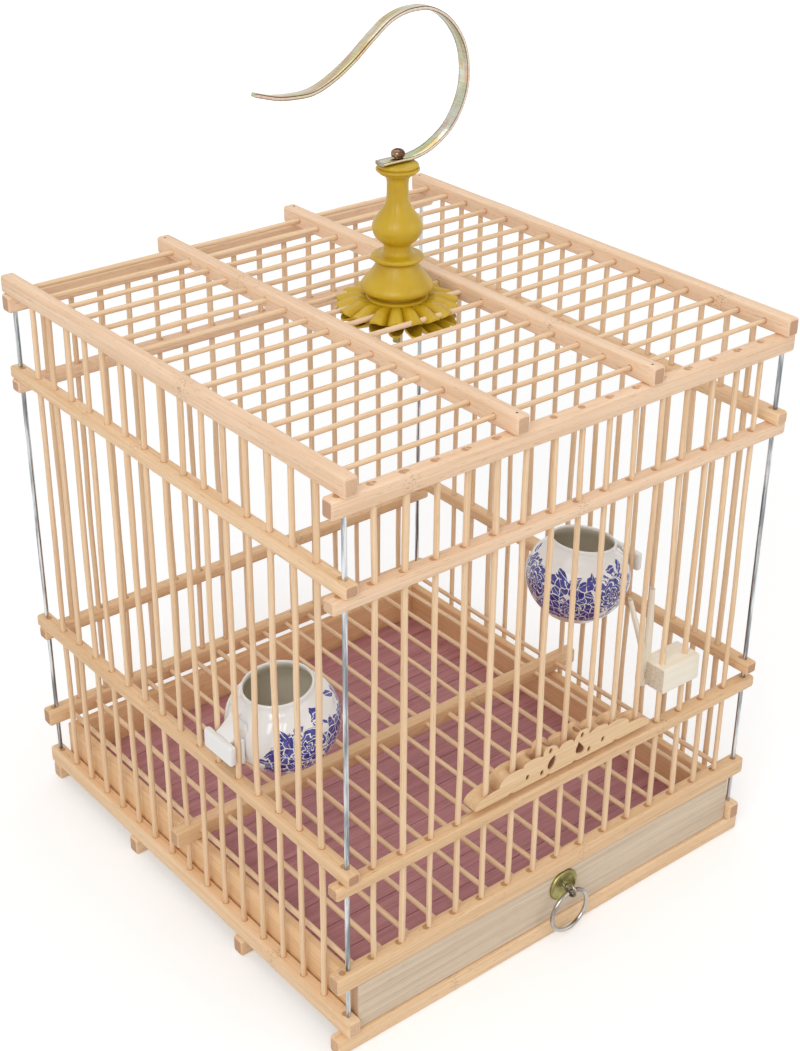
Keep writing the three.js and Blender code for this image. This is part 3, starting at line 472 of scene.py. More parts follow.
def printed_porcelain():
    """White glazed porcelain with a common blue print of blossoms in dense leaves, bare near the lug, and a
    darker, warmer inside that is painted shade of its hollow.
    """
    material, tree, surface = new_material("porcelain")
    grain = grain_of(tree)
    shake = noise(grain, 420.0, 1.0, 0.5) - 0.5
    parts = split(grain)
    u = shake * (2.4 * MM) + parts[0]
    v = shake * (-1.8 * MM) + parts[1]
    ink = 0.0
    bare = 0.0
    for centre_u, centre_v, radius, petals in BLOSSOMS:
        values = {"U": u, "V": v, "Centre U": centre_u * MM, "Centre V": centre_v * MM,
                  "Radius": radius * MM, "Petals": petals / 2, "Gap": BLOSSOM_GAP}
        made = use_group(BLOSSOM, values)
        ink = largest(ink, made["Ink"])
        bare = largest(bare, made["Ground"])
    ink = largest(ink, leaf_mosaic(u, v) * (1.0 - bare))
    top_edge = PRINT_HIGH - span(abs(parts[0]), BIB_START, BIB_END, 0.0, BIB_DROP)
    swell = maths("COSINE", (parts[0] - BLOSSOM_START) * (2 * math.pi / BLOSSOM_PITCH))
    wavy = swell * (-2.2 * MM) + (shake * (5 * MM) + parts[1])
    over_foot = v > PRINT_LOW
    ink = ink * largest((wavy < top_edge) * over_foot, bare * over_foot)
    for centre_u, centre_v, turn in SPRIGS:
        values = {"U": u, "V": v, "Centre U": centre_u * MM, "Centre V": centre_v * MM, "Turn": turn}
        ink = largest(ink, use_group(LEAF, values)["Ink"])
    wash = noise(grain, 420.0, 2.0, 0.5, 3.0)
    blue = mix(span(wash, 0.35, 0.7), srgb(40, 36, 124), srgb(70, 70, 158))
    # Painted shade: the inside is a darker, warmer white than the outside
    glaze = mix(parts[2], srgb(220, 212, 194), srgb(230, 228, 226))
    outside = parts[2] > 0.5
    give(surface, {"Base Color": mix(ink * outside, glaze, blue), "Roughness": 0.12,
                   "Coat Weight": 0.4, "Coat Roughness": 0.06})
    roughen(surface, noise(grain, 120.0, 2.0, 0.5), 0.08 * MM)
    return material


def leaf_mosaic(u, v):
    """Close-set leaves with pale midribs: the cells of a pattern, some of them left out."""
    place = put("CombineXYZ", {0: u, 1: v})[0]
    inputs = {"Vector": place, "Scale": 1 / LEAF_SIZE, "Randomness": 0.9}
    edges = put("TexVoronoi", inputs, voronoi_dimensions="2D", feature="DISTANCE_TO_EDGE")["Distance"]
    cells = put("TexVoronoi", inputs, voronoi_dimensions="2D", feature="F1")
    chance = put("SeparateColor", {0: cells["Color"]})
    local = split(put("VectorMath", {0: place, 1: cells["Position"]}, operation="SUBTRACT")[0])
    angle = chance[1] * math.pi
    across = local[0] * maths("COSINE", angle) + local[1] * maths("SINE", angle)
    rib = abs(across) > 0.08 * MM
    return rib * (edges > 0.055) * (chance[0] > 0.14)


BAMBOO = (srgb(244, 213, 182), srgb(222, 182, 144), srgb(228, 190, 152))
# A warmer copy of the bamboo colours for the base and side rails: painted warm shade, as on rail tops that
# lie in shade, and partly a warmer tone of these rails
SHADE_WARMED_PALE = srgb(243, 211, 173)
SHADE_WARMED_DEEP = srgb(220, 178, 130)
TAN = (srgb(234, 198, 156), srgb(206, 164, 118), srgb(212, 170, 124))

# What passes through the rails, for the painted shade round their sockets
UPRIGHT_BARS = {"Pitch": BAR_PITCH, "Radius": BAR_RADIUS}
BESIDE_DOOR = dict(UPRIGHT_BARS, Skip=(DOOR_HALF_COUNT + 0.5) * BAR_PITCH)
ROOF_DOWELS = {"Pitch": ROOF_DOWEL_PITCH, "Shift": 0.5, "Radius": ROOF_DOWEL_RADIUS, "Sideways": 1}

# Each finish with its maker, its colours and whatever differs from the maker's usual values.
# The colours of wood are pale, deep and cut end; on the carved ornament the cut end's colour is its painted
# shade
FINISHES = [
    (wood, "rail_bamboo", (SHADE_WARMED_PALE, SHADE_WARMED_DEEP, srgb(250, 216, 176)), dict(knot=0.6)),
    (wood, "side_bamboo", (SHADE_WARMED_PALE, SHADE_WARMED_DEEP, BAMBOO[2]), dict(knot=0.5, sockets=UPRIGHT_BARS)),
    (wood, "pierced_bamboo", BAMBOO, dict(knot=0.5, sockets=UPRIGHT_BARS)),
    (wood, "dowelled_bamboo", BAMBOO, dict(knot=0.6, sockets=ROOF_DOWELS)),
    (wood, "left_roof_bamboo", BAMBOO, dict(knot=0.6, sockets=dict(ROOF_DOWELS, Side=-1))),
    (wood, "right_roof_bamboo", BAMBOO, dict(knot=0.6, sockets=dict(ROOF_DOWELS, Side=1))),
    (wood, "tan_rail", TAN, dict(contrast=0.85, knot=0.5)),
    (wood, "pierced_tan", TAN, dict(contrast=0.85, knot=0.5, sockets=UPRIGHT_BARS)),
    (wood, "door_sill_bamboo", TAN, dict(knot=0.6, sockets=BESIDE_DOOR)),
    (wood, "bar_bamboo", (srgb(242, 213, 178), srgb(216, 178, 136), BAMBOO[2]),
     dict(width=0.35 * MM, length=60 * MM, contrast=0.95)),
    # Its dark cut-end colour is painted shade in the ornament's hollows, eyes and drops
    (wood, "carved_bamboo", (srgb(238, 206, 164), srgb(214, 174, 126), srgb(118, 74, 44)),
     dict(contrast=1.0, fleck=0.3, sockets=UPRIGHT_BARS)),
    (wood, "drawer_wood", (srgb(224, 206, 182), srgb(192, 168, 142), BAMBOO[2]),
     dict(width=0.4 * MM, length=60 * MM, contrast=0.95, fleck=0.45, roughness=0.55)),
    (wood, "drawer_wall", (srgb(246, 210, 164), srgb(222, 180, 132), TAN[2]), {}),
    (wood, "stained_mat", (srgb(200, 146, 150), srgb(160, 104, 112), srgb(150, 100, 100)),
     dict(width=0.4 * MM, roughness=0.6)),
    (wood, "clip_wood", (srgb(244, 236, 220), srgb(226, 212, 188), srgb(228, 216, 194)),
     dict(width=1.2 * MM, contrast=0.7, fleck=0.1)),
    (metal, "bright_steel", (srgb(222, 224, 226), srgb(124, 130, 134)),
     dict(roughness=0.14, mottle=200.0, streak=4.0)),
    (metal, "chrome_ring", (srgb(196, 194, 190), srgb(112, 98, 86)),
     dict(roughness=0.1, mottle=160.0, streak=2.0)),
    (metal, "pin_iron", (srgb(104, 84, 66), srgb(64, 48, 38)), dict(roughness=0.5)),
    (metal, "copper_screw", (srgb(150, 120, 98), srgb(84, 60, 46)), dict(roughness=0.08, mottle=200.0)),
    (metal, "dull_brass", (srgb(172, 166, 106), srgb(132, 124, 74)), dict(roughness=0.26, mottle=200.0)),
]
finish = {name: make(name, *colours, **differs) for make, name, colours, differs in FINISHES}
finish["yellow_zinc"] = iridescent_zinc()
finish["mustard_plastic"] = moulded_plastic()
finish["porcelain"] = printed_porcelain()


# Mesh making. A local place is (along, across, up), turned to the world by one of these
AXES = {
    "x": np.array([[1, 0, 0], [0, 1, 0], [0, 0, 1]], float),
    "y": np.array([[0, 1, 0], [-1, 0, 0], [0, 0, 1]], float),
    "z": np.array([[0, 0, 1], [1, 0, 0], [0, 1, 0]], float),
    "front": np.array([[0, -1, 0], [1, 0, 0], [0, 0, 1]], float),
}


def grid(along, across, up):
    """Local places from three arrays that are spread over each other."""
    return np.stack(np.broadcast_arrays(along, across, up), axis=-1).astype(float)


class Form:
    """The points and faces of one piece, gathered skin by skin, with their grain."""

    def __init__(self, name):
        self.name = name
        self.points, self.grain, self.seed, self.end = [], [], [], []
        self.faces = []
        self.count = 0
        self.random = np.random.default_rng(zlib.crc32(name.encode()))

    def skin(self, rings, origin=(0, 0, 0), axes=AXES["x"], grain=None, closed=False):
        """Joins rings of local points, each ring anticlockwise about the way ahead."""
        n, k = rings.shape[:2]
        index = self.count + np.arange(n * k).reshape(n, k)
        here = index if closed else index[:-1]
        ahead = np.roll(index, -1, axis=0) if closed else index[1:]
        quads = np.stack([here, np.roll(here, -1, 1), np.roll(ahead, -1, 1), ahead], axis=-1)
        self.faces += quads.reshape(-1, 4).tolist()
        end = np.zeros((n, k))
        if not closed:
            self.faces += [index[0, ::-1].tolist(), index[-1].tolist()]
            end[[0, -1]] = 1.0
        self.points.append(np.asarray(origin, float) + rings.reshape(-1, 3) @ axes)
        self.grain.append((rings if grain is None else grain).reshape(-1, 3))
        self.seed.append(np.full(n * k, self.random.uniform(0, 50)))
        self.end.append(end.reshape(-1))
        self.count += n * k

    def finish(self, body, slot, material, nodes=(), sharp=38):
        """Makes the mesh object, with its finish, body and the nodes that it stands for. Its slot is not
        used.
        """
        mesh = bpy.data.meshes.new(self.name)
        mesh.from_pydata(np.concatenate(self.points).tolist(), [], self.faces)
        grain, seed, end = (np.concatenate(part) for part in (self.grain, self.seed, self.end))
        dress(mesh, grain, seed, end, sharp, body, material, nodes)


def dress(mesh, grain, seed, end, sharp, body, material, nodes):
    """Makes a mesh a piece of the scene. Its grain, seed and end grain go to its shader."""
    for label, kind, field, values in (
        ("grain", "FLOAT_VECTOR", "vector", grain),
        ("seed", "FLOAT", "value", seed),
        ("end", "FLOAT", "value", end),
    ):
        mesh.attributes.new(label, kind, "POINT").data.foreach_set(field, values.reshape(-1))
    mesh.shade_smooth()
    mesh.set_sharp_from_angle(angle=math.radians(sharp))
    mesh.materials.append(finish[material])
    piece = add_object(mesh.name, mesh)
    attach(piece, body)
    if nodes:
        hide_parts(*nodes)


def round_section(radius, sides):
    angles = np.arange(sides) * 2 * math.pi / sides
    return radius * np.stack([np.cos(angles), np.sin(angles)], axis=1)


def strip_section(width, height, corner, steps=3):
    """A rectangle with rounded corners, anticlockwise, centred."""
    points = []
    for quarter, (sx, sy) in enumerate([(1, -1), (1, 1), (-1, 1), (-1, -1)]):
        centre = np.array([sx * (width / 2 - corner), sy * (height / 2 - corner)])
        for step in range(steps + 1):
            angle = (quarter - 1 + step / steps) * math.pi / 2
            points.append(centre + corner * np.array([math.cos(angle), math.sin(angle)]))
    return np.array(points)


def smooth(points, steps=5):
    """Points of a smooth curve through the given ones (centripetal Catmull and Rom)."""
    p = np.array(points, float)
    p = np.vstack([2 * p[0] - p[1], p, 2 * p[-1] - p[-2]])
    made = []
    for i in range(1, len(p) - 2):
        a, b, c, d = p[i - 1:i + 3]
        t1 = np.linalg.norm(b - a) ** 0.5
        t2 = t1 + np.linalg.norm(c - b) ** 0.5
        t3 = t2 + np.linalg.norm(d - c) ** 0.5
        for t in np.linspace(t1, t2, steps, endpoint=False):
            ab = a + (b - a) * t / t1
            bc = b + (c - b) * (t - t1) / (t2 - t1)
            cd = c + (d - c) * (t - t2) / (t3 - t2)
            abc = ab + (bc - ab) * t / t2
            bcd = bc + (cd - bc) * (t - t1) / (t3 - t1)
            made.append(abc + (bcd - abc) * (t - t1) / (t2 - t1))
    made.append(p[-2])
    return np.array(made)


WAVE_PARTS = 3
WAVE_SUM = 1.8


def waves(random, count, length, size, longest):
    """A smooth wander along a stick: a few sine waves with random phases."""
    along = np.linspace(0, length, count)
    total = np.zeros(count)
    for part in range(1, WAVE_PARTS + 1):
        phase = random.uniform(0, 2 * math.pi)
        total += np.sin(along * 2 * math.pi * part / longest + phase) / part
    return size * total / WAVE_SUM


SWELL_WAVE = 70 * MM
WANDER_WAVE = 160 * MM


def stick(form, axis, start, length, section, corner=0.0, wander=0.0, swell=0.0, step=6 * MM):
    """A straight stick along an axis from its start, with rounded ends and slight unevenness."""
    count = max(4, int(length / step) + 1)
    along = np.linspace(0, length, count)
    if corner:
        near = np.array([0, 0.3 * corner, corner])
        along = np.concatenate([near, along[1:-1], length - near[::-1]])
    n = len(along)
    scale = 1 + waves(form.random, n, length, swell, SWELL_WAVE)
    inset = np.zeros(n)
    if corner:
        inset[[0, -1]] = corner
        inset[[1, -2]] = 0.3 * corner
    held = np.sin(np.linspace(0, math.pi, n)) ** 0.5
    drift_across = waves(form.random, n, length, wander, WANDER_WAVE) * held
    drift_up = waves(form.random, n, length, wander, WANDER_WAVE) * held
    shrink = 1 - inset[:, None, None] / np.abs(section).max(axis=0)
    sides = section * scale[:, None, None] * shrink
    rings = grid(along[:, None], sides[:, :, 0] + drift_across[:, None], sides[:, :, 1] + drift_up[:, None])
    form.skin(rings, start, AXES[axis], rings - (length / 2, 0, 0))


def box_stick(form, axis, low, high, edge, **how):
    """A stick along x or y that fills a box, with its long edges rounded off."""
    way = "xy".index(axis)
    size = high - low
    start = (low + high) / 2
    start[way] = low[way]
    stick(form, axis, start, size[way], strip_section(size[1 - way], size.z, edge), **how)


# Rails
RAIL_CORNER = 1.05 * MM
RAIL_END = 0.9 * MM
RAIL_WANDER = 0.12 * MM

# How far the left and right ends of the rails were cut short, in mm
CUT_SHORT = {
    "top_rail_front": (0, 3.2), "top_rail_back": (3, 2),
    "upper_rail_front": (0, 2.8), "upper_rail_back": (3.6, 2),
    "waist_rail_front": (0, 2.6), "waist_rail_back": (4, 2),
    "floor_beam_front": (0, 3), "floor_beam_back": (1.6, 2),
    "base_beam_front": (0, 2.7), "base_beam_mid_front": (2.6, 2),
    "base_beam_mid_back": (3, 1.5), "base_beam_back": (4, 2),
}


def rail(name, axis, low, high, slot, material, node):
    """A bamboo rail that fills the box from low to high, less what its ends were cut short."""
    form = Form(name + "_bamboo")
    cut_low, cut_high = CUT_SHORT.get(name, (0, 0))
    low.x += cut_low * MM
    high.x -= cut_high * MM
    low.z = max(low.z, RAIL_WANDER)
    box_stick(form, axis, low, high, RAIL_CORNER, corner=RAIL_END, wander=RAIL_WANDER, swell=0.008,
              step=8 * MM)
    form.finish("cage", slot, material, [node])


def node_rails(nodes, axis, material, slot="bamboo"):
    for node in nodes:
        rail(node, axis, *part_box(node), slot, material, node)


def fused_rail(name, axis, place, low_z, height, slot, material, node):
    """A rail that is fused with other pieces in the frame, at its place across the cage."""
    low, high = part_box("top_rail_front") if axis == "x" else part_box("top_rail_left")
    side = "yx".index(axis)
    low[side] = place - RAIL_WIDTH / 2
    high[side] = place + RAIL_WIDTH / 2
    low.z = low_z
    high.z = low_z + height
    rail(name, axis, low, high, slot, material, node)


def make_rails():
    node_rails(["top_rail_left"], "y", "left_roof_bamboo")
    node_rails(["top_rail_mid_right"], "y", "dowelled_bamboo")
    node_rails(["top_rail_right"], "y", "right_roof_bamboo")
    low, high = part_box("roof_grille")
    fused_rail("top_rail_mid_left", "y", MID_LEFT_X, low.z, high.z - low.z, "bamboo", "dowelled_bamboo",
               "roof_grille")
    node_rails(["base_rail_left", "base_rail_right", "upper_rail_left", "upper_rail_right"], "y",
               "side_bamboo")
    node_rails(["top_rail_front", "top_rail_back", "upper_rail_front", "upper_rail_back"], "x",
               "pierced_bamboo")
    node_rails(["base_beam_front", "base_beam_mid_front", "base_beam_mid_back", "base_beam_back"], "x",
               "rail_bamboo")
    node_rails(["floor_beam_front", "floor_beam_back"], "x", "pierced_tan", "tan_bamboo")
    low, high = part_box("floor_beam_front")
    height = high.z - low.z
    for name, axis, place, low_z, height, material, node in (
        ("floor_beam_middle", "x", CAGE_Y, FLOOR_TOP - height, height, "tan_rail", "floor_grille"),
        ("waist_rail_front", "x", FRONT_Y, WAIST_LOW, WAIST_HEIGHT, "door_sill_bamboo", "front_grille"),
        ("waist_rail_back", "x", BACK_Y, WAIST_LOW, WAIST_HEIGHT, "pierced_tan", "back_grille"),
        ("waist_rail_left", "y", -SIDE_X, WAIST_MIDDLE, WAIST_HEIGHT, "pierced_tan", "left_grille"),
        ("waist_rail_right", "y", SIDE_X, WAIST_MIDDLE + RIGHT_WAIST_LIFT, WAIST_HEIGHT, "pierced_tan",
         "right_grille"),
    ):
        fused_rail(name, axis, place, low_z, height, "tan_bamboo", material, node)


# Bars and dowels
def places(count, pitch):
    return [(i - (count - 1) / 2) * pitch for i in range(count)]


def split_bar(form, x, y, low_z, high_z):
    """A bar shaved from bamboo: nearly round, a little uneven and never quite straight."""
    section = round_section(BAR_RADIUS * form.random.uniform(0.92, 1.04), 12)
    section[:, 0] *= form.random.uniform(0.94, 1.06)
    section[:, 1] *= form.random.uniform(0.94, 1.06)
    stick(form, "z", (x, y, low_z), high_z - low_z, section, corner=0.25 * MM, wander=0.35 * MM, swell=0.04,
          step=9 * MM)


def make_bars():
    bar_places = places(BAR_COUNT, BAR_PITCH)
    for side, x in (("left", -SIDE_X), ("right", SIDE_X)):
        form = Form(side + "_bars")
        for place in bar_places:
            split_bar(form, x, CAGE_Y + place, BASE_TOP - BAR_SEAT, TOP_MIDDLE + BAR_SEAT)
        form.finish("cage", "tan_bamboo", "bar_bamboo", [side + "_grille"])
    form = Form("back_bars")
    for place in bar_places:
        split_bar(form, place, BACK_Y, FLOOR_TOP - BAR_SEAT, TOP_MIDDLE + BAR_PROUD)
    form.finish("cage", "tan_bamboo", "bar_bamboo", ["back_grille"])
    form = Form("front_bars")
    for index, place in enumerate(bar_places):
        door_bar = abs(index - BAR_COUNT // 2) <= DOOR_HALF_COUNT
        head = WAIST_LOW + WAIST_HEIGHT / 2 if door_bar else TOP_MIDDLE + BAR_PROUD
        split_bar(form, place, FRONT_Y, FLOOR_TOP - BAR_SEAT, head)
    form.finish("cage", "tan_bamboo", "bar_bamboo", ["front_grille"])
    for index in range(2 * DOOR_HALF_COUNT + 1):
        node = "door_bar_%d" % (index + 1)
        low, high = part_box(node)
        form = Form(node + "_bamboo")
        split_bar(form, (index - DOOR_HALF_COUNT) * BAR_PITCH, FRONT_Y, low.z, high.z)
        form.finish("door", "bamboo", "bar_bamboo", [node])


def make_dowels():
    form = Form("roof_dowels")
    low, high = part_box("roof_grille")
    length = high.x - low.x + 2 * BAR_SEAT
    for place in places(ROOF_DOWEL_COUNT, ROOF_DOWEL_PITCH):
        section = round_section(ROOF_DOWEL_RADIUS * form.random.uniform(0.92, 1.06), 10)
        start = (low.x - BAR_SEAT, CAGE_Y + place, (low.z + high.z) / 2)
        stick(form, "x", start, length, section, wander=0.3 * MM, swell=0.04, step=9 * MM)
    form.finish("cage", "bamboo", "bar_bamboo", ["roof_grille"])
    form = Form("floor_dowels")
    low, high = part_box("floor_grille")
    length = high.y - low.y + 2 * BAR_SEAT
    for place in places(FLOOR_DOWEL_COUNT, BAR_PITCH):
        section = round_section(FLOOR_DOWEL_RADIUS * form.random.uniform(0.94, 1.04), 10)
        start = (place, low.y - BAR_SEAT, FLOOR_TOP - FLOOR_DOWEL_DROP)
        stick(form, "y", start, length, section, wander=0.25 * MM, swell=0.04, step=9 * MM)
    form.finish("cage", "tan_bamboo", "bar_bamboo", ["floor_grille"])


def make_corner_rods():
    for corner in ("front_left", "front_right", "back_left", "back_right"):
        node = "corner_rod_" + corner
        low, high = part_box(node)
        form = Form(node + "_steel")
        centre = middle(node)
        section = round_section((high.x - low.x) / 2, 24)
        stick(form, "z", (centre.x, centre.y, low.z), high.z - low.z, section, corner=0.15 * MM,
              wander=0.08 * MM, step=20 * MM)
        form.finish("cage", "bright_steel", "bright_steel", [node])


PIN_RADIUS = 0.5 * MM
PIN_SUNK = 0.5 * MM
PIN_LENGTH = 0.52 * MM
FRONT_PINS = (-70, -42.5, 37, 96)
FRONT_PIN_INSET = 2.2 * MM
ROOF_PIN_INSET = 3.6 * MM


def make_pins():
    """Heads of the wire pins that hold the roof rails and the floor beam."""
    form = Form("pin_heads")
    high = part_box("floor_beam_front")[1]
    tops = [(place * MM, high.y - FRONT_PIN_INSET, high.z) for place in FRONT_PINS]
    low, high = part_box("top_rail_left")
    for x in (-SIDE_X, MID_LEFT_X, middle("top_rail_mid_right").x, SIDE_X):
        for y in (low.y + ROOF_PIN_INSET, high.y - ROOF_PIN_INSET):
            tops.append((x + form.random.uniform(-1, 1) * MM, y, high.z))
    for x, y, z in tops:
        stick(form, "z", (x, y, z - PIN_SUNK), PIN_LENGTH, round_section(PIN_RADIUS, 10))
    form.finish("cage", "tan_bamboo", "pin_iron")


# Door ornament: half of the scroll's top edge in lobes that meet at creases, as shares of its
# half length and of its height, from its middle to its end
SCROLL_RUNS = [
    [(0, 0.9), (0.04, 0.885), (0.07, 0.84), (0.085, 0.77)],
    [(0.1, 0.84), (0.12, 0.92), (0.15, 0.975), (0.19, 1.0), (0.225, 0.99), (0.25, 0.94), (0.262, 0.86),
     (0.264, 0.79)],
    [(0.3, 0.83), (0.35, 0.86), (0.4, 0.865), (0.45, 0.84), (0.475, 0.8), (0.485, 0.74)],
    [(0.52, 0.765), (0.57, 0.775), (0.62, 0.765), (0.67, 0.725), (0.71, 0.66), (0.735, 0.59), (0.745, 0.5)],
    [(0.8, 0.495), (0.86, 0.475), (0.92, 0.43), (0.97, 0.36), (0.995, 0.27), (0.995, 0.14), (0.985, 0)],
]
FOOT_RISE = 2.6 * MM
FOOT_STEPS = 120
FOOT_SHARE = 0.96
FOOT_STRIP_SHARE = 0.93
FOOT_STRIP_DEPTH = 3 * MM
FOOT_STRIP_INSET = 1.8 * MM
NOTCH_SHARES = (-0.62, -0.2, 0.1, 0.58)
NOTCH_WIDTH_SHARE = 0.02
NOTCH_DEPTH = 0.7 * MM
# Drilled eyes, and drops that lean outwards, on both sides of the middle
HOLE_SHARES = [(0.18, 0.84), (0.27, 0.32), (0.432, 0.4)]
HOLE_RADIUS = 1.15 * MM
DROP_SHARES = (0.158, 0.49)
DROP_LEAN = 0.28
DROP_HEIGHT = 3.1 * MM
DROP_WIDTH = 2.9 * MM
# What the carver scooped out behind the front edge: place and width as shares, and depth in mm
HOLLOW_SHARES = [
    (0.0, 0.06, 2.2), (0.1, 0.05, 3.4), (0.285, 0.06, 3.6), (0.505, 0.065, 3.6), (0.765, 0.07, 3.0),
]
HOLLOW_LEAST = 1.3
HOLLOW_CUTS = 9
HOLLOW_REACH = 0.9 * MM
# Painted shade in the hollows: the mark at which the wood starts to darken, and the depth that darkens it
# fully
SHADE_MARK_START = 0.6
SHADE_MARK_DEPTH = 6 * MM
ORNAMENT_BEVEL = 0.35 * MM


def scroll_outline(half, height):
    """The foot with its notches, then the top from right to left."""
    foot = []
    for share in np.linspace(-FOOT_SHARE, FOOT_SHARE, FOOT_STEPS):
        notch = sum(math.exp(-((share - place) / NOTCH_WIDTH_SHARE) ** 2) for place in NOTCH_SHARES)
        foot.append((half * share, FOOT_RISE + NOTCH_DEPTH * notch))
    top = np.concatenate([smooth(run, 4) for run in SCROLL_RUNS])
    right = [(x * half, max(z * height, FOOT_RISE)) for x, z in top]
    left = [(-x, z) for x, z in right[1:]]
    return foot + right[::-1] + left


def spline(curve, points):
    line = curve.splines.new("POLY")
    line.points.add(len(points) - 1)
    for point, (x, y) in zip(line.points, points):
        point.co = (x, y, 0, 1)
    line.use_cyclic_u = True


def drop_outline(side, half, height):
    along, up = DROP_SHARES
    points = []
    for i in range(24):
        angle = i * 2 * math.pi / 24
        uneven = 1 + 0.1 * math.sin(3 * angle + side)
        rise = DROP_HEIGHT * math.cos(angle) * uneven
        width = DROP_WIDTH * math.sin(angle) * math.sin(angle / 2) ** 0.9 * uneven
        points.append((side * (along * half - DROP_LEAN * rise) + width, up * height + rise))
    return points


def hollow_depth(share):
    """How deep the carver scooped, at a share of the half length."""
    bowls = sum(depth * math.exp(-((share - place) / width) ** 2) for place, width, depth in HOLLOW_SHARES)
    return MM * (HOLLOW_LEAST + bowls)


def is_through(edge, depth):
    """Whether an edge runs from the front to the back of the flat ornament."""
    first, second = (vertex.co for vertex in edge.verts)
    return (first.xy - second.xy).length < 0.01 * MM and edge.calc_length() > depth / 2


def carve_hollows(mesh, half, height, depth):
    """Sinks the top behind the front edge, and marks what is deep, eyes and drops too, as dark: painted
    shade in the hollows and on the walls below the top edge.
    """
    sides = bmesh.new()
    sides.from_mesh(mesh)
    through = [edge for edge in sides.edges if is_through(edge, depth)]
    bmesh.ops.subdivide_edges(sides, edges=through, cuts=HOLLOW_CUTS, use_grid_fill=True)
    sides.verts.index_update()
    top = np.array(scroll_outline(half, height)[FOOT_STEPS:])
    top = top[np.argsort(top[:, 0])]
    # Painted shade: deeper hollows darker, walls below the top edge fully dark
    marks = np.zeros(len(sides.verts))
    for vertex in sides.verts:
        x, z = vertex.co.x, vertex.co.y
        across = 0.5 + vertex.co.z / depth
        on_top = z > np.interp(x, top[:, 0], top[:, 1]) - HOLLOW_REACH
        if on_top and 0.08 < across < 0.96:
            bowl = math.sin(math.pi * min(max((across - 0.06) / 0.9, 0), 1)) ** 0.45
            sunk = min(hollow_depth(min(abs(x) / half, 1)), 0.6 * (z - FOOT_RISE)) * bowl
            vertex.co.y -= sunk
            marks[vertex.index] = SHADE_MARK_START + (1 - SHADE_MARK_START) * min(sunk / SHADE_MARK_DEPTH, 0.7)
        elif not on_top and z > FOOT_RISE + 1.2 * MM and 0.05 < across < 0.95:
            marks[vertex.index] = 1.0
    sides.to_mesh(mesh)
    sides.free()
    return marks


def make_door_ornament():
    low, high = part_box("door_ornament")
    centre = middle("door_ornament")
    half = (high.x - low.x) / 2
    height = high.z - low.z
    depth = high.y - low.y
    curve = bpy.data.curves.new("door_ornament_outline", "CURVE")
    curve.dimensions = "2D"
    curve.fill_mode = "BOTH"
    curve.extrude = depth / 2 - ORNAMENT_BEVEL
    curve.bevel_depth = ORNAMENT_BEVEL
    curve.bevel_resolution = 2
    curve.offset = -ORNAMENT_BEVEL
    spline(curve, scroll_outline(half, height))
    for side in (-1, 1):
        for along, up in HOLE_SHARES:
            ring = round_section(HOLE_RADIUS, 16) * (0.85, 1.1)
            spline(curve, ring + (side * along * half, up * height))
        spline(curve, drop_outline(side, half, height))
    flat = add_object("door_ornament_outline", curve)
    mesh = bpy.data.meshes.new_from_object(flat.evaluated_get(bpy.context.evaluated_depsgraph_get()))
    bpy.data.objects.remove(flat)
    mesh.name = "door_ornament_carved"
    marks = carve_hollows(mesh, half, height, depth)
    upright = Matrix.Rotation(math.pi / 2, 4, "X")
    mesh.transform(Matrix.Translation((centre.x, centre.y, low.z)) @ upright)
    grain = np.array([tuple(v.co) for v in mesh.vertices]) - (0, FRONT_Y, low.z)
    seed = np.full(len(grain), 3.0)
    # The marks go in as end grain: painted shade in the hollows, eyes and drops
    dress(mesh, grain, seed, marks, 38, "door", "carved_bamboo", ["door_ornament"])
    form = Form("door_ornament_foot")
    section = strip_section(FOOT_STRIP_DEPTH, FOOT_RISE, 0.3 * MM)
    start = (-FOOT_STRIP_SHARE * half, high.y - FOOT_STRIP_INSET, low.z + FOOT_RISE / 2)
    stick(form, "x", start, 2 * FOOT_STRIP_SHARE * half, section, corner=0.3 * MM)
    form.finish("door", "bamboo", "bar_bamboo")


# Drawer
MAT_SLATS = 14
MAT_GROOVE = 0.25 * MM


def panel(name, node, axis, material, slot, edge=0.6 * MM):
    """A flat board that fills a node's box, with softened edges and grain along an axis."""
    form = Form(name)
    box_stick(form, axis, *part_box(node), edge, corner=edge, step=12 * MM)
    form.finish("drawer", slot, material, [node])


def make_drawer():
    panel("drawer_front_board", "drawer_front", "x", "drawer_wood", "pale_wood", 0.8 * MM)
    panel("drawer_side_left_board", "drawer_side_left", "y", "drawer_wall", "tan_bamboo")
    panel("drawer_side_right_board", "drawer_side_right", "y", "drawer_wall", "tan_bamboo")
    panel("drawer_back_board", "drawer_back", "x", "drawer_wall", "tan_bamboo")
    panel("drawer_bottom_board", "drawer_bottom", "x", "drawer_wall", "tan_bamboo", 0.3 * MM)
    low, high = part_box("drawer_mat")
    form = Form("drawer_mat_slats")
    width = (high.y - low.y) / MAT_SLATS
    section = strip_section(width - MAT_GROOVE, high.z - low.z, 0.35 * MM)
    for i in range(MAT_SLATS):
        start = (low.x, low.y + (i + 0.5) * width, (low.z + high.z) / 2)
        stick(form, "x", start, high.x - low.x, section, corner=0.3 * MM, step=20 * MM)
    form.finish("drawer", "stained_wood", "stained_mat", ["drawer_mat"])


# Turned pieces: profile points run from the foot up the outside
def turned(form, profile, centre, segments=72, seam=0.0, start_angle=0.0, axes=AXES["z"]):
    """A turned piece, with a raised seam at its first angle."""
    profile = np.array(profile, float)
    angles = start_angle + np.arange(segments) * 2 * math.pi / segments
    radius = profile[:, :1] + np.where(np.arange(segments) == 0, seam, 0.0)
    form.skin(grid(profile[:, 1:], radius * np.cos(angles), radius * np.sin(angles)), centre, axes)


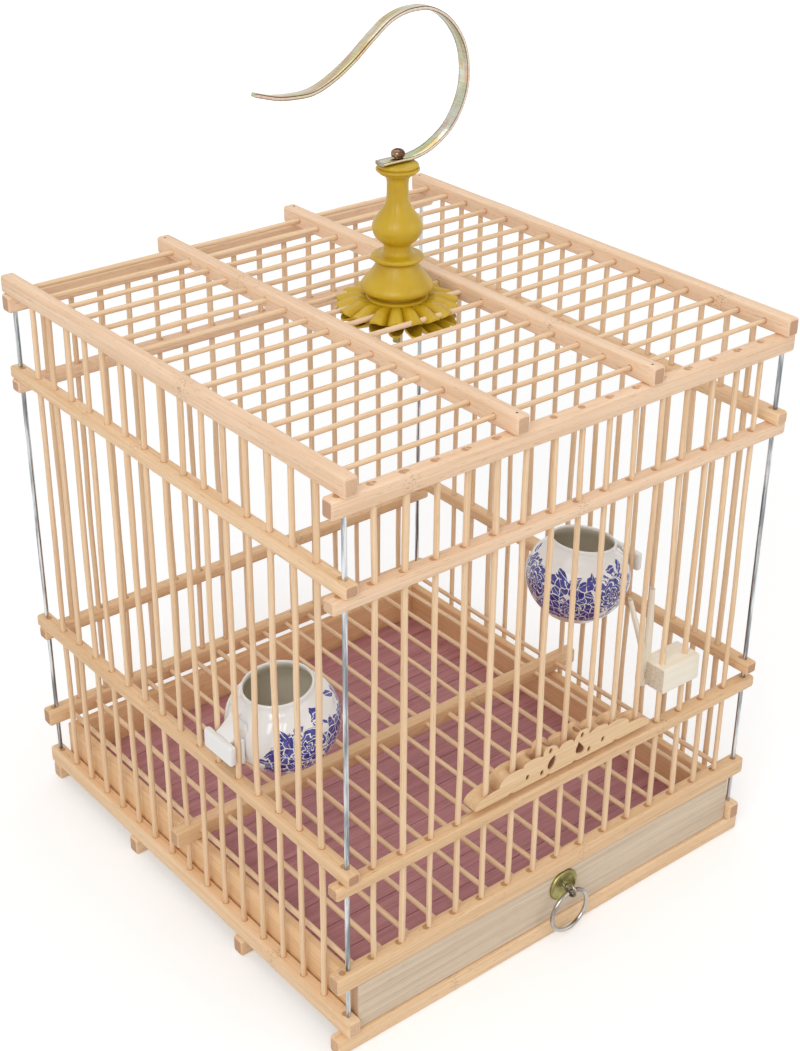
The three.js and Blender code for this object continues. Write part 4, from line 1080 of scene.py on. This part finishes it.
# Finial profile from the foot up, radius and height in mm, in runs that meet at a crease
FINIAL_RUNS = [
    [(12.2, 0.0), (12.5, 0.25), (12.5, 1.15), (12.2, 1.4)],
    [(9.8, 1.5), (9.4, 2.4), (9.8, 3.3)],
    [(11.8, 3.4), (13.5, 3.65), (14.5, 4.3), (14.8, 5.3), (14.5, 6.6), (13.4, 8.1), (11.7, 10.1),
     (10.2, 12.1), (8.9, 14.2), (7.9, 15.8), (7.4, 16.5)],
    [(7.6, 16.55), (9.7, 16.65), (10.5, 17.0), (10.7, 17.6), (10.5, 18.2), (9.8, 18.6), (8.0, 18.8)],
    [(6.6, 19.0), (5.9, 19.6), (5.55, 20.8), (5.5, 22.4), (5.7, 23.3)],
    [(6.6, 23.9), (8.1, 25.1), (9.3, 26.7), (10.0, 28.5), (10.2, 30.0), (9.8, 32.0), (8.6, 34.2),
     (7.0, 36.4), (5.7, 38.4), (4.85, 40.3), (4.45, 42.4), (4.35, 45.0), (4.35, 48.0), (4.5, 49.4),
     (5.0, 50.4), (5.8, 51.2), (6.8, 51.8)],
    [(7.3, 51.95), (7.45, 52.3), (7.45, 52.65)],
    [(8.1, 52.75), (8.6, 53.1), (8.75, 53.5), (8.7, 53.9), (8.3, 54.2)],
    [(7.75, 54.25), (7.7, 54.55)],
    [(8.15, 54.65), (8.3, 55.0), (8.15, 55.45), (7.6, 55.85), (6.2, 56.0)],
]
FINIAL_SEAM = 0.16 * MM
FINIAL_SEAM_ANGLE = math.radians(-138)


def make_finial():
    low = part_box("finial")[0]
    centre = middle("finial")
    runs = [np.array(run) * MM for run in FINIAL_RUNS]
    profile = np.concatenate([smooth(run) if len(run) > 2 else run for run in runs])
    form = Form("finial_turned")
    turned(form, profile, (centre.x, centre.y, low.z), 120, FINIAL_SEAM, FINIAL_SEAM_ANGLE)
    form.finish("cage", "mustard_plastic", "mustard_plastic", ["finial"])


PETALS = 18
PETAL_STEPS = 16
PETAL_RINGS = 14
PETAL_BULGE = 2.6 * MM
PETAL_NOTCH = 5 * MM
PETAL_ROUNDING = 0.35 * MM
PLATE_BORE = 2.2 * MM
PLATE_HUB = 11 * MM
PLATE_RADIUS = 25 * MM
PLATE_THICKNESS = 0.9 * MM
UPPER_DROOP = 3.6 * MM
LOWER_RISE = 1.6 * MM
LOWER_HANG = 2 * MM
FACE_DOWN = Matrix.Rotation(math.pi, 3, "X")
LOWER_TURN = Matrix.Rotation(math.radians(-6), 3, Vector((-0.63, -0.78, 0))) @ FACE_DOWN


def petal_height(place, share, droop):
    """Height of a petal's face over the flat plate: a bulging pillow between sunken seams, that droops."""
    bulge = (1 - abs(2 * place) ** 2.2) * math.sin(math.pi * min(share * 1.5, 1) * 0.6)
    return PETAL_BULGE * bulge - droop * share ** 1.4


def make_petals(name, node, droop, turn=None):
    """A ring of moulded petals parted by deep notches. A turn hangs the ring face down."""
    low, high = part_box(node)
    centre = middle(node)
    around = PETALS * PETAL_STEPS
    shares = np.linspace(0, 1, PETAL_RINGS)
    top = np.zeros((PETAL_RINGS + 1, around, 3))
    for i in range(around):
        angle = 2 * math.pi * i / around
        place = (i % PETAL_STEPS) / PETAL_STEPS - 0.5
        outer = PLATE_RADIUS - PETAL_NOTCH * abs(2 * place) ** 3.4 - PETAL_ROUNDING * abs(2 * place) ** 2
        radii = np.concatenate([[PLATE_BORE], PLATE_HUB + shares * (outer - PLATE_HUB)])
        heights = np.array([0] + [petal_height(place, share, droop) for share in shares])
        top[:, i] = grid(PLATE_THICKNESS + heights, radii * math.cos(angle), radii * math.sin(angle))
    under = top - (PLATE_THICKNESS, 0, 0)
    form = Form(name)
    axes = AXES["z"]
    origin = (centre.x, centre.y, low.z)
    if turn:
        axes = axes @ np.array(turn).T
        origin = (centre.x, centre.y, high.z - LOWER_HANG)
    form.skin(np.concatenate([under, top[::-1]]), origin, axes, closed=True)
    form.finish("cage", "mustard_plastic", "mustard_plastic", [node], sharp=50)


STUD_END = 4.5 * MM


def make_clamp():
    for node, sides, end in (("clamp_stud", 24, STUD_END), ("clamp_nut", 6, 0)):
        low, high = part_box(node)
        centre = middle(node)
        radius = (high.x - low.x) / 2 if sides > 6 else (high.y - low.y) / 2
        foot = low.z - end
        form = Form(node + "_brass")
        section = round_section(radius, sides)
        stick(form, "z", (centre.x, centre.y, foot), high.z - foot, section, corner=0.3 * MM)
        form.finish("cage", "dull_brass", "dull_brass", [node], sharp=25)


# Hook: middle line in mm, right of the screw and above the tab, and half of its section in mm, up and across
HOOK_LINE = [
    (-9.0, 0), (0, 0), (6, 0.1), (14.6, 2.2), (25.2, 9.0), (31.5, 19.3), (33.0, 29.8), (30.5, 41.0),
    (22.8, 51.0), (13.4, 56.0), (4.2, 56.6), (-4.9, 54.3), (-13.7, 48.5), (-23.4, 41.2), (-33.7, 35.4),
    (-42.2, 32.6), (-50.4, 32.5), (-58.4, 33.4), (-67.0, 35.8),
]
HOOK_HALF = [(-0.45, 2.65), (-0.3, 2.8), (0.65, 2.8), (0.85, 2.7), (1.0, 2.45), (1.1, 1.8), (1.15, 0.6)]
HOOK_TOP = 56.65 * MM
TAB_RISE = 1.45 * MM
TIP_FLARE = 5.5 * MM
TIP_CUT = 0.4 * MM
TIP_NECK = 2.6 * MM
TIP_NECK_LENGTH = 0.7 * MM


def swept(line, outward, across):
    """Rings of a section carried along a line that bends in the plane of x and z."""
    ahead = np.gradient(line, axis=0)
    ahead /= np.linalg.norm(ahead, axis=1)[:, None]
    return grid(line[:, :1] + ahead[:, 1:] * outward, across, line[:, 1:] - ahead[:, :1] * outward)


def make_hook():
    centre = middle("finial")
    line = smooth(np.array(HOOK_LINE) * MM, 8)
    line[:, 1] = np.minimum(line[:, 1], HOOK_TOP)
    half = [(up, -across) for up, across in HOOK_HALF]
    up, across = (np.array(half + HOOK_HALF[::-1]) * MM).T
    steps = np.linalg.norm(np.diff(line, axis=0), axis=1)
    along = np.concatenate([[0], np.cumsum(steps)])
    to_tip = along[-1] - along
    flare = np.clip((to_tip - TIP_FLARE) / TIP_FLARE, 0, 1)
    taper = 0.62 + 0.38 * flare ** 2 * (3 - 2 * flare) - 0.14 * (to_tip < TIP_CUT)
    width = taper * (1 - 0.16 * np.exp(-((to_tip - TIP_NECK) / TIP_NECK_LENGTH) ** 2))
    rings = swept(line, up, across * width[:, None])
    grain = grid(along[:, None], across, up)
    form = Form("hook_strip")
    origin = (centre.x, centre.y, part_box("finial")[1].z + TAB_RISE)
    form.skin(rings[:, ::-1], origin, AXES["x"], grain[:, ::-1])
    form.finish("hook", "yellow_zinc", "yellow_zinc", ["hook"], sharp=50)


# Screw head from its seat to its crown, as shares of its radius and height
HEAD_DOME = [
    (0.86, 0), (0.95, 0.1), (1.0, 0.28), (0.995, 0.42), (0.96, 0.56), (0.9, 0.68), (0.82, 0.78),
    (0.73, 0.85), (0.64, 0.9), (0.55, 0.935), (0.45, 0.96), (0.36, 0.975), (0.27, 0.985), (0.18, 0.993),
    (0.1, 0.998), (0.03, 1.0),
]
HEAD_HEIGHT = 3 * MM
SHANK_RADIUS = 1.5 * MM
CROSS_HALF_WIDTH = 0.42 * MM
CROSS_REACH = 1.75 * MM
CROSS_DEPTH = 1.3 * MM
CROSS_END = 2.6 * MM


def make_hook_screw():
    """Pan head screw: a domed head with a cross recess sunk in it."""
    low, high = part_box("hook_screw")
    centre = middle("hook_screw")
    head_low = high.z - HEAD_HEIGHT
    dome = np.array(HEAD_DOME)
    radii = np.concatenate([[SHANK_RADIUS, SHANK_RADIUS], (high.x - low.x) / 2 * dome[:, 0]])[:, None]
    heights = np.concatenate([[low.z - head_low, 0], HEAD_HEIGHT * dome[:, 1]])[:, None]
    x, y = round_section(1, 64).T
    x, y = radii * x, radii * y
    arm = np.minimum(np.abs(x), np.abs(y))
    reach = np.maximum(np.abs(x), np.abs(y))
    sunk = (arm < CROSS_HALF_WIDTH) & (reach < CROSS_REACH) & (heights > HEAD_HEIGHT * 0.8)
    rings = grid(heights - np.where(sunk, CROSS_DEPTH * (1 - reach / CROSS_END), 0), x, y)
    form = Form("hook_screw_head")
    form.skin(rings, (centre.x, centre.y, head_low), AXES["z"])
    form.finish("cage", "copper_screw", "copper_screw", ["hook_screw"], sharp=30)


# Ring pull
# The brass plate's profile from its bore round its rim, as shares of its radius and depth
PLATE_SHARES = [
    (0.985, 0), (1, 0.15), (1, 0.55), (0.97, 0.85), (0.9, 1), (0.82, 0.97), (0.74, 0.8), (0.6, 0.66),
    (0.36, 0.62),
]
PLATE_HOLE = 0.9 * MM
EYE_WIRE = 0.7 * MM
EYE_SHANK = 0.8 * MM
RING_WIRE = 0.95 * MM


def wire_loop(form, centre, radius, wire, sides, segments, axis, gap=0.0):
    """A ring of wire in the plane square to an axis, with a small gap where its ends meet."""
    turn = np.linspace(gap, 2 * math.pi - gap, segments)[:, None]
    out, over = round_section(wire, sides).T
    sine = (radius + out) * np.sin(turn)
    cosine = (radius + out) * np.cos(turn)
    rings = grid(-over, sine, cosine) if axis == "x" else grid(sine, over, cosine)
    form.skin(rings, centre, AXES["x"], grid(turn * radius, out, over))


def make_ring_pull():
    low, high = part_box("ring_plate")
    centre = middle("ring_plate")
    rim = np.array(PLATE_SHARES) * ((high.x - low.x) / 2, high.y - low.y)
    profile = [(PLATE_HOLE, 0), *rim, (PLATE_HOLE, rim[-1, 1])]
    form = Form("ring_plate_brass")
    turned(form, profile, (centre.x, high.y, centre.z), axes=AXES["front"])
    form.finish("drawer", "dull_brass", "dull_brass", ["ring_plate"], sharp=30)

    low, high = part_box("ring_eye")
    eye_radius = (high.z - low.z) / 2 - EYE_WIRE
    eye_y = low.y + eye_radius + EYE_WIRE
    shank_y = eye_y + eye_radius
    form = Form("ring_eye_steel")
    wire_loop(form, (centre.x, eye_y, centre.z), eye_radius, EYE_WIRE, 14, 40, "x")
    shank = round_section(EYE_SHANK, 16)
    stick(form, "y", (centre.x, shank_y, centre.z), high.y - shank_y, shank, corner=0.2 * MM)
    form.finish("drawer", "bright_steel", "chrome_ring", ["ring_eye"])

    low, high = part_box("pull_ring")
    ring_radius = (high.x - low.x) / 2 - RING_WIRE
    form = Form("pull_ring_steel")
    wire_loop(form, middle("pull_ring"), ring_radius, RING_WIRE, 16, 80, "y", gap=math.radians(0.8))
    form.finish("pull_ring", "bright_steel", "chrome_ring", ["pull_ring"])


# Cups: outside then inside, radius and height in mm
CUP_OUTSIDE = [
    (12.0, 0.4), (12.4, 0.0), (13.0, 0.3), (14.3, 1.5), (17.4, 4.0), (20.8, 8.4), (23.2, 13.6), (23.9, 18.5),
    (23.5, 23.3), (21.6, 27.9), (19.0, 31.0), (16.9, 32.8), (15.7, 34.2), (15.3, 35.4), (15.2, 36.3),
    (14.9, 36.85), (14.55, 37.0),
]
CUP_INSIDE = [
    (14.2, 36.85), (14.0, 36.3), (14.05, 35.2), (15.2, 33.0), (18.6, 28.6), (21.2, 23.4), (21.9, 18.5),
    (20.9, 12.4), (18.0, 7.8), (13.0, 4.2), (4.0, 3.1),
]
CUP_UNDERSIDE = [(3, 0.8), (11.4, 0.8)]
CUP_SEGMENTS = 96
# Points of the profile, besides the outside's own, that count as outside for the print
CUP_RIM_POINTS = 8
CUP_HEIGHT = 37 * MM
CUP_BELLY = 24 * MM
CUP_TILT = math.radians(7.5)
CUP_X = 85 * MM
CUP_Y = -31.75 * MM
MOUTH_Z = {"cup_left": 121 * MM, "cup_right": 128.4 * MM}
GLAZED = (0, 0, 1)


def make_cup(name, node, side):
    """A pot that leans about the middle of its mouth, top towards the wall that carries it."""
    form = Form(name)
    outside = smooth(np.array(CUP_OUTSIDE) * MM, 4)
    inside = smooth(np.array(CUP_INSIDE) * MM, 4)
    profile = np.concatenate([np.array(CUP_UNDERSIDE) * MM, outside, inside])
    radius, height = profile[:, :1], profile[:, 1:]
    turn = np.linspace(-math.pi, math.pi, CUP_SEGMENTS, endpoint=False)
    rings = grid(height - CUP_HEIGHT, -radius * np.cos(turn), -radius * np.sin(turn))
    grain = grid(turn * CUP_BELLY, height, 0)
    grain[: len(outside) + CUP_RIM_POINTS, :, 2] = 1.0
    sine = math.sin(CUP_TILT)
    cosine = math.cos(CUP_TILT)
    axes = np.array([[side * sine, 0, cosine], [side * cosine, 0, -sine], [0, side, 0]])
    origin = (side * CUP_X, CUP_Y, MOUTH_Z[node])
    form.skin(rings, origin, axes, grain)
    add_lug(form, origin, side)
    form.finish(node, "porcelain", "porcelain", [node], sharp=60)


# Places in the lug, in mm outwards from the mouth's middle and down from it
LUG_LOW = -23 * MM
LUG_HIGH = -14 * MM
LUG_LINE = [
    (19.4, -8.6), (20.2, -9.4), (21.2, -10.3), (22.6, -11.3), (24.2, -12.5), (25.8, -13.7), (27.2, -14.35),
    (29.0, -14.6),
]
LUG_CORNER = 0.9 * MM
FLANGE = (21.05 * MM, 23.25 * MM, 7.4 * MM, LUG_LOW - 3 * MM)
HEAD = (26.75 * MM, 29.95 * MM, 9.5 * MM, LUG_LOW)
NECK_HALF = 5.3 * MM
NECK_CORNER = 1.0 * MM
NECK_FLARE = 1.1 * MM
NECK_FLARE_REACH = 0.9 * MM


def block_rings(low_along, high_along, half_width, low_z):
    """Rings of a softened block across the lug."""
    section = strip_section(2 * half_width, LUG_HIGH - low_z, LUG_CORNER)
    inset = LUG_CORNER * np.array([1, 0.3, 0, 0, 0.3, 1])
    sides = section * (1 - inset[:, None, None] / np.abs(section).max(axis=0))
    near = LUG_CORNER * np.array([0, 0.3, 1])
    along = np.concatenate([low_along + near, high_along - near[::-1]])
    return grid(along[:, None], sides[:, :, 0], (low_z + LUG_HIGH) / 2 + sides[:, :, 1])


def add_lug(form, origin, side):
    """The lug that passes between two side bars: ramped neck, inner flange and outer head."""
    axes = np.diag([side, side, 1.0])
    neck = []
    for along, top in np.array(LUG_LINE) * MM:
        flare = NECK_FLARE * math.exp(-(along - LUG_LINE[0][0] * MM) / NECK_FLARE_REACH)
        section = strip_section(2 * (NECK_HALF + flare), top - LUG_LOW, NECK_CORNER)
        neck.append(grid(along, section[:, 0], (top + LUG_LOW) / 2 + section[:, 1]))
    for rings in (block_rings(*FLANGE), block_rings(*HEAD), np.array(neck)):
        form.skin(rings, origin, axes, np.ones_like(rings) * GLAZED)


# Food clip: its block's height, and its fork's arms in mm from the block's corner
BLOCK_HEIGHT = 12 * MM
BLOCK_OVERLAP = 3 * MM
FORK_INSET = 1.6 * MM
FORK_ARMS = [
    [(2.0, 1.0), (-1.2, 1.0), (-1.6, 12.0), (-1.9, 18.0), (-4.6, 26.0), (-8.4, 36.0), (-11.7, 45.8)],
    [(2.0, 6.0), (1.2, 12.0), (1.4, 20.0), (1.6, 30.0), (1.5, 38.0), (1.35, 46.0)],
]


def make_food_clip():
    low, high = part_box("food_clip")
    form = Form("food_clip_carved")
    block_low = 4 * BAR_PITCH - BLOCK_OVERLAP
    section = strip_section(high.y - low.y, BLOCK_HEIGHT, 0.7 * MM)
    start = (block_low, (low.y + high.y) / 2, low.z + BLOCK_HEIGHT / 2)
    stick(form, "x", start, high.x - block_low, section, corner=0.6 * MM)
    for points in FORK_ARMS:
        prong(form, smooth(np.array(points) * MM, 4), (block_low, high.y - FORK_INSET, low.z))
    form.finish("food_clip", "pale_wood", "clip_wood", ["food_clip"])


def prong(form, line, origin):
    """One arm of the fork, wide at its root and thin at its tip."""
    share = np.linspace(0, 1, len(line))[:, None]
    wide, deep = strip_section(2.0, 2.0, 0.6).T
    wide = wide * (2.2 - 1.5 * share) * MM
    deep = deep * (1.6 - 0.6 * share) * MM
    rings = swept(line, wide, deep)
    form.skin(rings, origin, AXES["x"], rings[:, :, [2, 0, 1]])


# Studio: a plain pale floor, soft lamps and a white surround
LAMP_TARGET = (0, 0, 0.15)
LAMPS = [
    ("key", (-1.5, -1.1, 1.35), 1.2, 18.5),
    ("fill", (0.9, -1.7, 1.0), 1.4, 5.4),
    ("top", (0.1, 0.3, 2.0), 1.6, 8),
]
WHITE = (1, 1, 1, 1)
FLOOR_GREY = (0.8, 0.8, 0.8, 1)
FLOOR_REACH = 6.0
WORLD_STRENGTH = 0.58


def make_studio():
    for name, place, size, energy in LAMPS:
        light = bpy.data.lights.new(name, "AREA")
        light.shape = "SQUARE"
        light.size = size
        light.energy = energy
        lamp = add_object(name, light)
        lamp.location = place
        lamp.rotation_euler = (Vector(LAMP_TARGET) - Vector(place)).to_track_quat("-Z", "Y").to_euler()

    world = bpy.data.worlds.new("studio")
    bpy.context.scene.world = world
    world.use_nodes = True
    strength = seen_directly(world.node_tree) * (1 - WORLD_STRENGTH) + WORLD_STRENGTH
    give(world.node_tree.nodes["Background"].inputs, {"Color": WHITE, "Strength": strength})

    mesh = bpy.data.meshes.new("studio_floor")
    corners = [(x * FLOOR_REACH, y * FLOOR_REACH, 0) for x, y in ((-1, -1), (1, -1), (1, 1), (-1, 1))]
    mesh.from_pydata(corners, [], [(0, 1, 2, 3)])
    material, tree, surface = new_material("studio_floor")
    place = put("TexCoord", {}, tree)["Object"]
    from_middle = put("VectorMath", {0: place}, operation="LENGTH")["Value"]
    glow = span(from_middle, 0.5, 1.6, 0.3, 0.75)
    give(surface, {"Base Color": FLOOR_GREY, "Roughness": 0.8, "Specular IOR Level": 0.0,
                   "Emission Color": WHITE, "Emission Strength": seen_directly(tree) * glow})
    mesh.materials.append(material)
    floor = add_object("studio_floor", mesh)

    bpy.context.scene.view_settings.view_transform = "Standard"


place_camera()
make_studio()
make_rails()
make_bars()
make_dowels()
make_corner_rods()
make_pins()
make_door_ornament()
make_drawer()
make_ring_pull()
make_finial()
make_petals("upper_petals_moulded", "upper_petals", UPPER_DROOP)
make_petals("lower_petals_moulded", "lower_petals", LOWER_RISE, LOWER_TURN)
make_clamp()
make_hook()
make_hook_screw()
make_cup("cup_left_glazed", "cup_left", -1)
make_cup("cup_right_glazed", "cup_right", 1)
make_food_clip()
